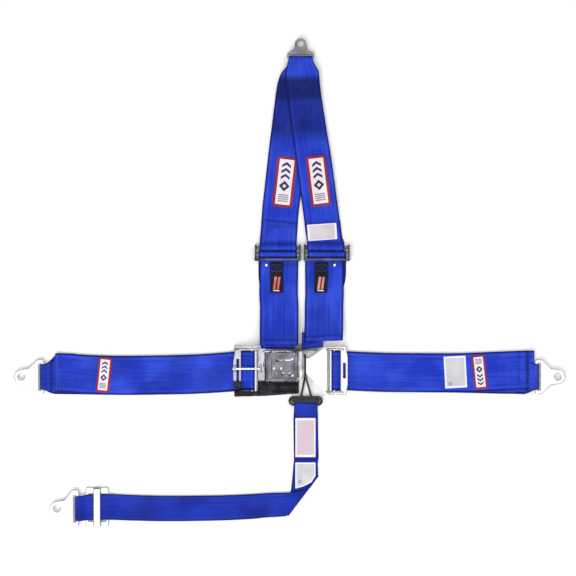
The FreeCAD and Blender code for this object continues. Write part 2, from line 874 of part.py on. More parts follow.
def make_latch_lever():
    """A pressed lever: skin, side walls, raised rails, hub, pawl and a finger roll."""
    body = new_body("latch_lever")
    skin = dim("lever_skin")
    under = dim("lever_underside")
    high = dim("lever_middle_y") + dim("lever_width") / 2
    low = dim("lever_middle_y") - dim("lever_width") / 2
    hinge_x = dim("hinge_x")
    hinge_z = dim("hinge_height")
    top = new_sketch(body, "XY_Plane", under)
    draw_outline(top, rectangle(hinge_x, low, dim("lever_end_x") + 1, high))
    pad(body, top, skin)
    wall = [
        (hinge_x - 3, hinge_z - 4.5),
        (hinge_x + 4, hinge_z - 4.5),
        (6, 12),
        (dim("lever_end_x"), under + 1),
        (hinge_x, under + 1),
    ]
    add_flange(body, wall, high, skin)
    add_flange(body, wall, low + skin, skin)
    hub = new_sketch(body, "XZ_Plane", -high)
    pad(body, draw_circle(hub, hinge_x, hinge_z, dim("hinge_pin_radius") + 2.5), dim("lever_width"))
    for y_high, width in ((high, 6), (low + 5, 5)):
        rail = new_sketch(body, "XY_Plane", under + skin - 0.5)
        draw_outline(rail, rectangle(-38, y_high - width, 12, y_high))
        pad(body, rail, 2)
    middle = dim("tongue_middle_y")
    pawl = [(-10, 4), (-2, 4), (-1, under + 1), (-11, under + 1)]
    add_flange(body, pawl, middle + 7, 14)
    roll = new_sketch(body, "XZ_Plane", -(high + 2.5))
    draw_circle(roll, dim("roll_x"), dim("roll_height"), dim("roll_radius"))
    draw_circle(roll, dim("roll_x"), dim("roll_height"), dim("roll_radius") - skin)
    pad(body, roll, 51)
    well = new_sketch(body, "XY_Plane", under + skin)
    draw_outline(well, rectangle(-34, low + 8, 9, high - 9))
    pocket(body, well, 0.9)
    holes = new_sketch(body, "XY_Plane", under + skin)
    for x in (-25, -12.5, 0):
        draw_circle(holes, x, middle - 15, 3.2)
    draw_outline(holes, rectangle(-26, middle + 9.5, -14, middle + 13))
    draw_outline(holes, rectangle(-9, middle + 9.5, 3, middle + 13))
    pocket(body, holes, skin + 1)
    bore = new_sketch(body, "XZ_Plane", -(high + 3))
    draw_circle(bore, hinge_x, hinge_z, dim("hinge_pin_radius") + dim("hinge_fit"))
    pocket(body, bore, dim("lever_width") + 6, reverse=True)
    body.Tip = body.Group[-1]
    return place(body)


def make_lever_rivets():
    """Four dome-headed rivets on the lever's skin."""
    seat = dim("lever_underside") + dim("lever_skin") - 0.9
    heads = []
    for i, (x, y) in enumerate(((5.4, -145), (6, -177), (-29.8, -163), (-16, -163))):
        head = doc.addObject("Part::Cylinder", f"lever_rivet_{i}")
        head.setExpression("Radius", "Dims.slide_bar_radius - 0.4")
        head.Height = 1.6
        head.Placement.Base = FreeCAD.Vector(x, y, seat.value)
        head.setExpression("Placement.Base.z", seat.text)
        heads.append(head)
    group = doc.addObject("Part::Compound", "latch_rivets")
    group.Label = "latch_rivets"
    group.Links = heads
    return place(group)


def make_link_plate():
    """The link: a tongue with the pawl's window, flaring to a frame for the right belt."""
    body = new_body("link_plate")
    thin = dim("plate_thickness")
    level = dim("tongue_height")
    middle = dim("tongue_middle_y")
    half = dim("tongue_width") / 2
    end = dim("tongue_end_x")
    high = dim("lap_adjuster_y") + dim("lap_rail_inner")
    low = dim("lap_adjuster_y") - dim("lap_rail_inner")
    sketch = new_sketch(body, "XY_Plane", level)
    outline = [
        (end, middle - half + 6),
        (end + 6, middle - half),
        (33, middle - half),
        (67, low - 4),
        (72, low - 7),
        (108, low - 7),
        (112, low + 14),
        (112, high - 14),
        (108, high + 7),
        (76, high + 7),
        (66, high + 5),
        (38, middle + half + 1),
        (32, middle + half),
        (end + 6, middle + half),
        (end, middle + half - 6),
    ]
    pad(body, draw_outline(sketch, outline), thin)
    flange = [(70, 0.6), (104, 0.6), (104, 10), (98, 12.5), (74, 12.5), (70, 10)]
    add_flange(body, flange, high + thin, thin)
    add_flange(body, flange, low, thin)
    windows = new_sketch(body, "XY_Plane", level - 1)
    draw_outline(windows, rectangle(73, low, 98, high))
    draw_outline(windows, rectangle(-12.6, middle - 7.6, -0.6, middle + 7.6))
    draw_outline(windows, rectangle(103, middle - 23, 107.5, middle + 6))
    pocket(body, windows, thin + 2, reverse=True)
    slots = new_sketch(body, "XZ_Plane", -(high + 6))
    draw_circle(slots, dim("right_cross_bar_x"), dim("loop_axis_height"), dim("cross_bar_radius"))
    pocket(body, slots, dim("lap_rail_inner") * 2 + 12, reverse=True)
    tabs = new_sketch(body, "XZ_Plane", -(high + 3.5))
    draw_outline(tabs, rectangle(73.4, 6.6, 80.9, 11.6))
    pocket(body, tabs, dim("lap_rail_inner") * 2 + 7, reverse=True)
    body.Tip = body.Group[-1]
    return place(body)


def make_latch():
    make_latch_base()
    make_cross_bar("latch_cross_bar", dim("left_cross_bar_x"))
    make_lap_slide_bar("lap_slide_bar_left", -64.6, 6.8, 11, True)
    make_adjuster_rod()
    make_hinge_pin()
    make_latch_lever()
    make_lever_rivets()
    make_link_plate()
    make_cross_bar("link_cross_bar", dim("right_cross_bar_x"))
    make_lap_slide_bar("lap_slide_bar_right", 78.7, 4.5, 9, False)


# ---- crotch loop and anti-submarine strap -----------------------------------------------


def sweep_wire(points, radius):
    """A round wire along straight runs through the points."""
    runs = [Part.LineSegment(a, b).toShape() for a, b in zip(points, points[1:])]
    path = Part.Wire(runs)
    direction = points[1] - points[0]
    profile = Part.Wire(Part.Circle(points[0], direction, radius).toShape())
    return path.makePipeShell([profile], True, False, 1)


def make_crotch_loop():
    """A wire that goes under the tongue and back over it, welded to an oval ring."""
    x = dim("crotch_x").value
    bar_y = dim("crotch_bar_y").value
    bar_z = dim("crotch_bar_height").value
    ring_wire = dim("crotch_wire").value
    wire = dim("tongue_wire").value
    middle = dim("sub_strap_x").value
    half_run = dim("crotch_loop_width").value / 2 + 1
    gap = 14.6
    bend = gap / 2
    vector = FreeCAD.Vector
    centre_y = bar_y + bend
    lower = Part.LineSegment(
        vector(middle - half_run, bar_y, bar_z), vector(middle + half_run, bar_y, bar_z)
    )
    upper = Part.LineSegment(
        vector(middle + half_run, bar_y + gap, bar_z),
        vector(middle - half_run, bar_y + gap, bar_z),
    )
    right = Part.Arc(
        vector(middle + half_run, bar_y, bar_z),
        vector(middle + half_run + bend, centre_y, bar_z),
        vector(middle + half_run, bar_y + gap, bar_z),
    )
    left = Part.Arc(
        vector(middle - half_run, bar_y + gap, bar_z),
        vector(middle - half_run - bend, centre_y, bar_z),
        vector(middle - half_run, bar_y, bar_z),
    )
    path = Part.Wire([piece.toShape() for piece in (lower, right, upper, left)])
    start = vector(middle - half_run, bar_y, bar_z)
    profile = Part.Wire(Part.Circle(start, vector(1, 0, 0), ring_wire).toShape())
    ring = path.makePipeShell([profile], True, False, 0)
    tongue_z = dim("tongue_height").value + dim("plate_thickness").value / 2
    rise = dim("plate_thickness").value / 2 + 0.8 + wire
    top_y = dim("tongue_middle_y").value + dim("tongue_width").value / 2 + 1.5
    low_y = top_y - dim("tongue_width").value - 5
    turn = Part.Arc(
        vector(x, top_y, tongue_z - rise),
        vector(x, top_y + rise, tongue_z),
        vector(x, top_y, tongue_z + rise),
    )
    bar_top = bar_y + gap
    under = [vector(middle - 9, bar_top, bar_z), vector(x, low_y, tongue_z - rise)]
    under.append(vector(x, top_y, tongue_z - rise))
    over = [vector(x, top_y, tongue_z + rise), vector(x, low_y + 3, tongue_z + rise)]
    over.append(vector(middle + 11, bar_top, bar_z))
    turn_path = Part.Wire([turn.toShape()])
    turn_profile = Part.Wire(
        Part.Circle(vector(x, top_y, tongue_z - rise), vector(0, 1, 0), wire).toShape()
    )
    bend_solid = turn_path.makePipeShell([turn_profile], True, False, 0)
    shape = ring.fuse([sweep_wire(under, wire), bend_solid, sweep_wire(over, wire)])
    loop = doc.addObject("Part::Feature", "crotch_loop")
    loop.Label = "crotch_loop"
    loop.Shape = shape.removeSplitter()
    return place(loop)


def make_sub_strap():
    """A single belt: down from the crotch loop, folded on the diagonal, then left."""
    body = new_body("sub_strap")
    floor = dim("floor_gap")
    thickness = dim("webbing_thickness")
    half = dim("narrow_webbing") / 2
    x = dim("sub_strap_x")
    bar_y = dim("crotch_bar_y")
    centre_y = dim("sub_anchor_y") + 2
    neck = dim("crotch_loop_width") / 2
    down = new_sketch(body, "XY_Plane", floor)
    corners = [
        (x - neck, bar_y - 2.4),
        (x + neck, bar_y - 2.4),
        (x + half, bar_y - 16),
        (x + half, -374),
        (x - half, -434),
        (x - half, bar_y - 16),
    ]
    pad(body, draw_outline(down, corners), thickness)
    across = new_sketch(body, "XY_Plane", floor)
    bend = [
        (x + half, -374),
        (-10, -400),
        (-70, centre_y + half),
        (-338, centre_y + half),
        (-338, centre_y - half),
        (-70, centre_y - half),
        (-4, -446),
        (x - half, -436),
    ]
    pad(body, draw_outline(across, bend), thickness * 2)
    level = dim("sub_level")
    rise = new_sketch(body, "XZ_Plane", -centre_y)
    stop = dim("sub_anchor_x") + 4.2
    profile = [
        (-337, floor),
        (-337, floor + thickness * 2),
        (-344, level + thickness),
        (stop, level + thickness),
        (stop, level),
        (-345, level),
    ]
    pad(body, draw_outline(rise, profile), half * 2, symmetric=True)
    wire = dim("crotch_wire")
    inner = wire + 0.4
    height = dim("crotch_bar_height")
    width = dim("crotch_loop_width")
    add_ring(body, "YZ_Plane", x, bar_y, height, inner + thickness, inner, width)
    anchor = (dim("sub_anchor_x"), dim("loop_axis_height"))
    rings = (dim("loop_outer"), dim("loop_inner"), dim("sub_loop_width"))
    add_ring(body, "XZ_Plane", -dim("sub_anchor_y"), *anchor, *rings)
    body.Tip = body.Group[-1]
    return place(body)


def make_sub_adjuster():
    """A three-bar slide: two end bars under the webbing and a raised middle bar over it."""
    body = new_body("sub_adjuster")
    half = dim("sub_adjuster_half")
    inner = half - 11.5
    low = new_sketch(body, "XY_Plane", dim("floor_gap"))
    draw_outline(low, rectangle(-22, -half, 22, half))
    draw_outline(low, rectangle(-17, -inner, 17, inner))
    frame = pad(body, low, dim("plate_thickness"))
    round_edges(body, frame, 3, lambda e: upright(e) and abs(e.Vertexes[0].Y) > number(half) - 1)
    leg = dim("floor_gap") + dim("plate_thickness") - 0.5
    top = dim("sub_level") + dim("webbing_thickness") + 0.4
    for side in (-1, 1):
        post = new_sketch(body, "XY_Plane", leg)
        near = inner * side + side * 0.6
        far = half * side - side * 2
        corners = rectangle(-6.5, near, 6.5, far) if side > 0 else rectangle(-6.5, far, 6.5, near)
        pad(body, draw_outline(post, corners), top - leg + 0.5)
    bar = new_sketch(body, "XY_Plane", top)
    draw_outline(bar, rectangle(-6.5, -half + 2, 6.5, half - 2))
    pad(body, bar, dim("plate_thickness"))
    body.Tip = body.Group[-1]
    return place(body, dim("sub_adjuster_x"), dim("sub_anchor_y") + 2)


# ---- patches and labels -----------------------------------------------------------------


def make_patch(label, middle_x, middle_y, bottom, width, height, turn):
    """A thin sewn-on rectangle, centred at its middle and turned about +Z."""
    body = new_body(label)
    sketch = new_sketch(body, "XY_Plane")
    corners = rectangle(-width / 2, -height / 2, width / 2, height / 2)
    pad(body, draw_outline(sketch, corners), dim("patch_thickness"))
    return place(body, middle_x, middle_y, bottom, turn)


def make_patches():
    floor = dim("floor_gap")
    thickness = dim("webbing_thickness")
    left_top = floor + 0.4 + thickness
    right_top = left_top + thickness + 0.8
    lap_top = floor + thickness * 2
    make_patch("shoulder_patch_left", -9.2, 194, left_top, 38, 97, -6.5)
    make_patch("shoulder_patch_right", 55.5, 196, right_top, 38, 97, 7)
    make_patch("shoulder_label", 62.4, 98, right_top, 56, 31, 4)
    make_patch("lap_patch_left", -356.5, -176, lap_top, 26, 67, -5)
    make_patch("lap_patch_right", 365, -170, lap_top, 26, 64, 5)
    make_patch("lap_label", 318.6, -171, lap_top, 42, 61, 3)
    make_patch("sub_label_upper", 30.5, -297, floor + thickness, 38, 75, 0)
    lower = new_body("sub_label_lower")
    sketch = new_sketch(lower, "XY_Plane", floor + thickness)
    corners = [(11.5, -345), (49.5, -345), (49.5, -376.2), (27, -385), (11.5, -385)]
    pad(lower, draw_outline(sketch, corners), dim("patch_thickness"))
    place(lower)


# ---- checks and files -------------------------------------------------------------------


def check_document():
    for thing in doc.Objects:
        if "Invalid" in thing.State or "Error" in thing.State:
            raise RuntimeError(f"{thing.Label} is {thing.State}")
    for part in subparts:
        if part.Shape.isNull() or not part.Shape.isValid():
            raise RuntimeError(f"{part.Label} has no valid shape")


def write_parts():
    os.makedirs("parts", exist_ok=True)
    for part in subparts:
        part.Shape.exportStep(os.path.join("parts", f"{part.Label}.step"))


doc = FreeCAD.newDocument("racing_harness")
sheet = make_sheet()
subparts = []

make_anchors()
make_lap_straps()
make_upper_straps()
make_lower_straps()
make_shoulder_hardware()
make_latch()
make_crotch_loop()
make_sub_strap()
make_sub_adjuster()
make_patches()

doc.recompute()
check_document()
write_parts()
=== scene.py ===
import math
import random

import bpy
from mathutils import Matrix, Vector, noise
from mathutils.bvhtree import BVHTree


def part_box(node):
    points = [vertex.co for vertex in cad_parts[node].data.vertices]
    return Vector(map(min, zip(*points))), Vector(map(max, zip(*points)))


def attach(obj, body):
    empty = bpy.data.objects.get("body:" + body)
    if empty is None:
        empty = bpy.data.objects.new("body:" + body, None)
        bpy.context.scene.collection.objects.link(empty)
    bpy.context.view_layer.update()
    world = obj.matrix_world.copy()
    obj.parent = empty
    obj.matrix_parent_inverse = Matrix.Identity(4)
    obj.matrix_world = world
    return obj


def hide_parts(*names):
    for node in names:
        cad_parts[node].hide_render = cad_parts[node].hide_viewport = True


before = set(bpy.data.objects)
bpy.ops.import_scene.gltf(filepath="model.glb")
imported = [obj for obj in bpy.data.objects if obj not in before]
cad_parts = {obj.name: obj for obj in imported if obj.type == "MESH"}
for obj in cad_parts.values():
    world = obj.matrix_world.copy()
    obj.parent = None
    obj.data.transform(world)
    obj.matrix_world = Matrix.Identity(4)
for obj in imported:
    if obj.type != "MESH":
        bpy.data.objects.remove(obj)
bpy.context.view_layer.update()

# A racing harness laid out flat: lap belts, shoulder belts and an anti-submarine belt.
# Belts, patches and stitches are in millimetres, in the frame of the model, and become metres in
# make_mesh. Materials, lights and the camera are in metres.

MM = 0.001

# The webbing's thickness, and half the width of each belt and of the pull tabs.
THICK = 1.6
LAP_HALF = 37.6
SHOULDER_HALF = 35.2
TAIL_HALF = 37.0
SUB_HALF = 23.6
TAB_HALF = 12.3

# Radius of a belt's middle line round a bar, a slide bar and the crotch loop's ring; the outer
# radius of a loop round a bar, and the height of the bars' axes.
RING = 4.1
SLIDE_RING = 3.6
CROTCH_RING = 3.4
LOOP_OUTER = 4.9
RING_Z = 5.2

# A ribbon: row spacing, least height, length of its ripples, and where its edges grow thin.
ROW_STEP = 2.6
FLOOR_GAP = 0.12
RIPPLE_LENGTH = 46
THIN_FROM = 0.93
THIN_SPAN = 0.07

# A stitch: how far it sinks into the belt and how high it stands.
STITCH_SINK = 0.08
STITCH_RISE = 0.42

# The weave, in metres: width of a herringbone column and pitch of its threads.
COLUMN = 0.0030
PITCH = 0.0022


def node_box(name):
    low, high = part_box(name)
    return low / MM, high / MM


def middle(name):
    low, high = node_box(name)
    return (low + high) / 2


# ---- meshes ----


def make_mesh(name, points, faces, materials, picks=None, smooth=True):
    """An object from points in millimetres; picks gives each face's material."""
    mesh = bpy.data.meshes.new(name)
    mesh.from_pydata([Vector(p) * MM for p in points], [], faces)
    for material in materials:
        mesh.materials.append(material)
    if picks:
        mesh.polygons.foreach_set("material_index", picks)
    mesh.polygons.foreach_set("use_smooth", [smooth] * len(mesh.polygons))
    mesh.update()
    item = bpy.data.objects.new(name, mesh)
    bpy.context.scene.collection.objects.link(item)
    return item


def slopes_of(places, values):
    """Slopes of a curve through the values that never overshoots them."""
    count = len(places)
    gaps = [places[i + 1] - places[i] for i in range(count - 1)]
    rises = [(values[i + 1] - values[i]) / gaps[i] for i in range(count - 1)]
    slopes = [rises[0]] + [0.0] * (count - 2) + [rises[-1]]
    for i in range(1, count - 1):
        if rises[i - 1] * rises[i] > 0:
            near = 2 * gaps[i] + gaps[i - 1]
            far = gaps[i] + 2 * gaps[i - 1]
            slopes[i] = (near + far) / (near / rises[i - 1] + far / rises[i])
    return slopes


def resample(controls, step):
    """Rows close together on the smooth curve through the control rows, with their arc lengths."""
    places = [0.0]
    for one, two in zip(controls, controls[1:]):
        places.append(places[-1] + max((Vector(two[:3]) - Vector(one[:3])).length, 0.05))
    columns = list(zip(*controls))
    slopes = [slopes_of(places, column) for column in columns]
    rows = []
    for i in range(len(controls) - 1):
        gap = places[i + 1] - places[i]
        pieces = max(1, math.ceil(gap / step))
        for k in range(pieces):
            t = k / pieces
            weights = (2 * t**3 - 3 * t**2 + 1, t**3 - 2 * t**2 + t, 3 * t**2 - 2 * t**3, t**3 - t**2)
            row = []
            for column, slope in zip(columns, slopes):
                ends = (column[i], slope[i] * gap, column[i + 1], slope[i + 1] * gap)
                row.append(sum(w * e for w, e in zip(weights, ends)))
            rows.append(row)
    rows.append(list(controls[-1]))
    lengths = [0.0]
    for one, two in zip(rows, rows[1:]):
        lengths.append(lengths[-1] + (Vector(two[:3]) - Vector(one[:3])).length)
    return rows, lengths


def ribbon(name, controls, material, half, thick=THICK, across=22, ripple=0.3, seed=0, tone=None):
    """A flat belt. A control row is x, y, z, reach to one side, reach to the other, the side's
    angle in degrees, and how free the belt is to ripple there."""
    rows, lengths = resample(controls, ROW_STEP)
    fractions = [-1 + 2 * j / across for j in range(across + 1)]
    fractions = [math.copysign(1 - (1 - abs(f)) ** 1.35, f) for f in fractions]
    centres = [Vector(row[:3]) for row in rows]
    points = []
    marks = []
    for i, row in enumerate(rows):
        ahead = centres[min(i + 1, len(rows) - 1)] - centres[max(i - 1, 0)]
        right, left, turn, freedom = row[3:]
        angle = math.radians(turn)
        side = Vector((math.cos(angle), math.sin(angle), 0))
        normal = ahead.cross(side)
        normal = normal.normalized() if normal.length > 1e-6 else Vector((0, 0, 1))
        for face in (1, -1):
            for f in fractions if face == 1 else reversed(fractions):
                reach = right if f > 0 else left
                edge = max(0.0, (abs(f) - THIN_FROM) / THIN_SPAN)
                depth = thick / 2 * (1 - 0.5 * edge**2)
                spot = centres[i] + side * (f * reach) + normal * (face * depth)
                where = Vector((f * 1.1, lengths[i] / RIPPLE_LENGTH, seed * 7.3))
                wave = noise.noise(where) + 0.5 * noise.noise(where * 2.3)
                spot.z += freedom * ripple * (0.6 + wave)
                spot.z = max(spot.z, FLOOR_GAP)
                points.append(spot)
                marks.append((f, f * half * MM, lengths[i] * MM))
    ring = 2 * (across + 1)
    faces = []
    for i in range(len(rows) - 1):
        for j in range(ring):
            k = (j + 1) % ring
            faces.append((i * ring + j, i * ring + k, (i + 1) * ring + k, (i + 1) * ring + j))
    for start, flip in ((0, True), ((len(rows) - 1) * ring, False)):
        for j in range(across):
            cap = (start + j, start + j + 1, start + ring - 2 - j, start + ring - 1 - j)
            faces.append(tuple(reversed(cap)) if flip else cap)
    item = make_mesh(name, points, faces, [material])
    mesh = item.data
    across_mark = mesh.attributes.new("across", "FLOAT", "POINT")
    across_mark.data.foreach_set("value", [m[0] for m in marks])
    # The attribute tone holds painted shade from the tone function at each point, with some random
    # unevenness.
    shade_mark = mesh.attributes.new("tone", "FLOAT", "POINT")
    shade_mark.data.foreach_set("value", [tone(p) if tone else 0.0 for p in points])
    weave = mesh.uv_layers.new(name="weave")
    for loop in mesh.loops:
        weave.data[loop.index].uv = marks[loop.vertex_index][1:]
    return item, lengths[-1]


def surface_of(item):
    """What finds the height of a piece at a place, from above."""
    mesh = item.data
    corners = [v.co / MM for v in mesh.vertices]
    tree = BVHTree.FromPolygons(corners, [tuple(p.vertices) for p in mesh.polygons])

    def height(x, y, otherwise=2.0):
        hit = tree.ray_cast(Vector((x, y, 60)), Vector((0, 0, -1)))
        return hit[0].z if hit[0] is not None else otherwise

    return height


def bar_arc(x, y, z, radius, first, last, along, steps):
    """Centres on an arc round a bar, angles in degrees; along is the belt's direction."""
    run = Vector(along).normalized()
    spots = []
    for i in range(steps + 1):
        angle = math.radians(first + (last - first) * i / steps)
        out = run * (math.cos(angle) * radius)
        spots.append((x + out.x, y + out.y, z + math.sin(angle) * radius))
    return spots


def rows_at(spots, right, left, angle):
    """Control rows of equal reach and angle at each of the spots, with no ripple."""
    return [(*spot, right, left, angle, 0) for spot in spots]


def even(x, y, z, reach, angle=0, free=0):
    """A control row that reaches as far to both sides."""
    return x, y, z, reach, reach, angle, free


def stitches(name, lines, height, material, pitch=4.4, length=3.1, width=0.75):
    """Rows of raised stitches along straight lines on a belt."""
    points = []
    faces = []
    for start, end in lines:
        a = Vector((*start, 0))
        b = Vector((*end, 0))
        run = (b - a).normalized()
        side = Vector((-run.y, run.x, 0))
        for i in range(int((b - a).length / pitch)):
            middle_spot = a + run * (pitch * (i + 0.5))
            first = len(points)
            for shift, swell in ((-0.5, 0.25), (-0.3, 0.9), (0.0, 1.0), (0.3, 0.9), (0.5, 0.25)):
                spot = middle_spot + run * (shift * length)
                top = height(spot.x, spot.y) - STITCH_SINK
                for out, rise in ((-1, 0), (-0.6, 0.8), (0.6, 0.8), (1, 0)):
                    place = spot + side * (out * width / 2 * swell)
                    points.append((place.x, place.y, top + rise * STITCH_RISE * swell))
            for k in range(4):
                for m in range(4):
                    n = (m + 1) % 4
                    low = first + 4 * k
                    faces.append((low + m, low + 4 + m, low + 4 + n, low + n))
            faces.append((first, first + 1, first + 2, first + 3))
            faces.append((first + 19, first + 18, first + 17, first + 16))
    return make_mesh(name, points, faces, [material])


def box_lines(x0, y0, x1, y1, cross=False):
    lines = [((x0, y0), (x1, y0)), ((x1, y0), (x1, y1)), ((x1, y1), (x0, y1)), ((x0, y1), (x0, y0))]
    if cross:
        lines += [((x0, y0), (x1, y1)), ((x0, y1), (x1, y0))]
    return lines


def turned(centre, angle, x, y):
    c = math.cos(math.radians(angle))
    s = math.sin(math.radians(angle))
    return centre[0] + c * x - s * y, centre[1] + s * x + c * y


# ---- materials ----

# The dark lines along a plate's edges, painted shade standing for the dark reflection in its rounded edges:
# their width in metres, and how far the softened surface leans where they begin and where they are full, as
# cosines.
RIM_WIDTH = 0.0030
FLAT = 0.992
LEANING = 0.84


class Paint:
    """A material under construction; a value is a socket or a number."""

    def __init__(self, name, color, rough, metal=0.0, **sockets):
        self.material = bpy.data.materials.new(name)
        self.material.use_nodes = True
        self.tree = self.material.node_tree
        self.shader = self.tree.nodes["Principled BSDF"]
        self.material.diffuse_color = (*color, 1)
        self.set("Base Color", (*color, 1))
        self.set("Roughness", rough)
        self.set("Metallic", metal)
        for key, value in sockets.items():
            self.set(key.replace("_", " "), value)

    def set(self, key, value):
        self.shader.inputs[key].default_value = value

    def node(self, kind, **settings):
        node = self.tree.nodes.new(kind)
        for key, value in settings.items():
            setattr(node, key, value)
        return node

    def feed(self, socket, value):
        if isinstance(value, bpy.types.NodeSocket):
            self.tree.links.new(value, socket)
        else:
            socket.default_value = value

    def math(self, operation, *values):
        node = self.node("ShaderNodeMath", operation=operation)
        for socket, value in zip(node.inputs, values):
            self.feed(socket, value)
        return node.outputs[0]

    def times(self, one, two):
        return self.math("MULTIPLY", one, two)

    def plus(self, one, two):
        return self.math("ADD", one, two)

    def place(self):
        return self.node("ShaderNodeTexCoord").outputs["Object"]

    def parts(self, vector):
        node = self.node("ShaderNodeSeparateXYZ")
        self.feed(node.inputs[0], vector)
        return node.outputs

    def noise(self, vector, scale, detail=2.0, stretch=None):
        if stretch:
            mapping = self.node("ShaderNodeMapping")
            self.feed(mapping.inputs["Vector"], vector)
            mapping.inputs["Scale"].default_value = stretch
            vector = mapping.outputs[0]
        node = self.node("ShaderNodeTexNoise")
        self.feed(node.inputs["Vector"], vector)
        node.inputs["Scale"].default_value = scale
        node.inputs["Detail"].default_value = detail
        return node.outputs["Fac"]

    def between(self, value, low, high, to_low=0.0, to_high=1.0):
        node = self.node("ShaderNodeMapRange", interpolation_type="SMOOTHSTEP")
        for socket, number in zip(node.inputs, (value, low, high, to_low, to_high)):
            self.feed(socket, number)
        return node.outputs[0]

    def mix(self, amount, one, two, blend="MIX"):
        node = self.node("ShaderNodeMix", data_type="RGBA", blend_type=blend)
        self.feed(node.inputs["Factor"], amount)
        self.feed(node.inputs["A"], one if isinstance(one, bpy.types.NodeSocket) else (*one, 1))
        self.feed(node.inputs["B"], two if isinstance(two, bpy.types.NodeSocket) else (*two, 1))
        return node.outputs["Result"]

    def bump(self, height, strength, distance):
        node = self.node("ShaderNodeBump")
        self.feed(node.inputs["Height"], height)
        node.inputs["Strength"].default_value = strength
        node.inputs["Distance"].default_value = distance
        previous = self.shader.inputs["Normal"]
        if previous.is_linked:
            self.feed(node.inputs["Normal"], previous.links[0].from_socket)
        self.feed(previous, node.outputs[0])

    def soften(self, radius):
        """Small rounded edges on the plate."""
        node = self.node("ShaderNodeBevel", samples=6)
        node.inputs["Radius"].default_value = radius
        self.feed(self.shader.inputs["Normal"], node.outputs[0])

    def painted_edge_shade(self, color, radius, shade):
        """Darker lines along the plate's edges: painted shade standing for the dark reflection of the
        surroundings in its rounded edges.
        """
        node = self.node("ShaderNodeBevel", samples=6)
        node.inputs["Radius"].default_value = radius
        face = self.node("ShaderNodeNewGeometry").outputs["True Normal"]
        lean = self.node("ShaderNodeVectorMath", operation="DOT_PRODUCT")
        self.feed(lean.inputs[0], node.outputs[0])
        self.feed(lean.inputs[1], face)
        amount = self.math("SUBTRACT", 1.0, self.between(lean.outputs["Value"], LEANING, FLAT))
        return self.mix(amount, color, shade)

    def link(self, key, value):
        self.feed(self.shader.inputs[key], value)


def webbing(name, base, light, dark):
    """Herringbone polyester webbing with a lighter stripe and painted shade along each edge."""
    paint = Paint(name, base, 0.5, Sheen_Weight=0.06, Sheen_Roughness=0.4, Specular_IOR_Level=0.13)
    paint.set("Sheen Tint", (0.45, 0.55, 1.0, 1))
    uv = paint.node("ShaderNodeUVMap", uv_map="weave").outputs[0]
    u, v = paint.parts(uv)[:2]
    cells = paint.math("DIVIDE", u, COLUMN)
    inside = paint.math("FRACT", cells)
    odd = paint.times(paint.math("FRACT", paint.math("DIVIDE", cells, 2.0)), 2.0)
    sign = paint.math("SUBTRACT", paint.times(paint.math("FLOOR", odd), 2.0), 1.0)
    slant = paint.times(inside, sign)
    turns = paint.plus(paint.math("DIVIDE", v, PITCH), slant)
    wave = paint.math("SINE", paint.times(turns, 2 * math.pi))
    thread = paint.plus(paint.times(wave, 0.5), 0.5)
    groove = paint.math("POWER", paint.math("SINE", paint.times(inside, math.pi)), 0.4)
    height = paint.times(thread, groove)
    across = paint.node("ShaderNodeAttribute", attribute_name="across").outputs["Fac"]
    edge = paint.math("ABSOLUTE", across)
    stripe = paint.times(paint.between(edge, 0.80, 0.825), paint.between(edge, 0.865, 0.84))
    second = paint.times(paint.between(edge, 0.66, 0.675), paint.between(edge, 0.70, 0.685))
    # Painted shade: a dark band along each edge of the belt.
    edge_shade = paint.between(edge, 0.885, 0.955)
    place = paint.place()
    mottle = paint.noise(place, 16, 3)
    fuzz = paint.noise(place, 1500, 2)
    drawn = paint.noise(uv, 1.0, 3, stretch=(260, 9, 1))
    shade = paint.plus(paint.times(mottle, 0.6), paint.times(drawn, 0.4))
    color = paint.mix(paint.between(shade, 0.36, 0.68), base, light)
    # Painted shade: the weave's grooves are darkened in the colour.
    groove_shade = paint.times(paint.math("SUBTRACT", 1.0, height), 0.32)
    color = paint.mix(groove_shade, color, dark)
    color = paint.mix(paint.times(stripe, 0.55), color, light)
    color = paint.mix(paint.times(second, 0.28), color, dark)
    color = paint.mix(paint.times(edge_shade, 0.88), color, dark)
    # Painted shade: tone darkens the colour in creases, folds and on lower layers.
    tone = paint.node("ShaderNodeAttribute", attribute_name="tone").outputs["Fac"]
    color = paint.mix(tone, color, dark)
    paint.link("Base Color", color)
    rough = paint.between(fuzz, 0.3, 0.7, 0.40, 0.56)
    paint.link("Roughness", rough)
    paint.bump(height, 0.55, 0.00035)
    paint.bump(paint.plus(fuzz, paint.times(stripe, 0.8)), 0.3, 0.0002)
    return paint.material


def cloth(name, base, other, ridge, rough):
    """Embroidered or printed cloth with fine thread ridges."""
    paint = Paint(name, base, rough, Sheen_Weight=0.2, Specular_IOR_Level=0.3)
    place = paint.place()
    x, y = paint.parts(place)[:2]
    diagonal = paint.math("DIVIDE", paint.plus(x, y), ridge)
    wave = paint.math("SINE", paint.times(diagonal, 2 * math.pi))
    cross = paint.math("DIVIDE", paint.math("SUBTRACT", x, y), ridge * 2.3)
    second = paint.math("SINE", paint.times(cross, 2 * math.pi))
    height = paint.times(paint.plus(wave, second), 0.5)
    spots = paint.noise(place, 30, 3)
    fine = paint.noise(place, 900, 2)
    paint.link("Base Color", paint.mix(paint.between(spots, 0.35, 0.7), base, other))
    paint.link("Roughness", paint.between(fine, 0.3, 0.7, rough - 0.12, min(1, rough + 0.1)))
    paint.bump(height, 0.45, 0.00025)
    paint.bump(fine, 0.25, 0.0002)
    return paint.material


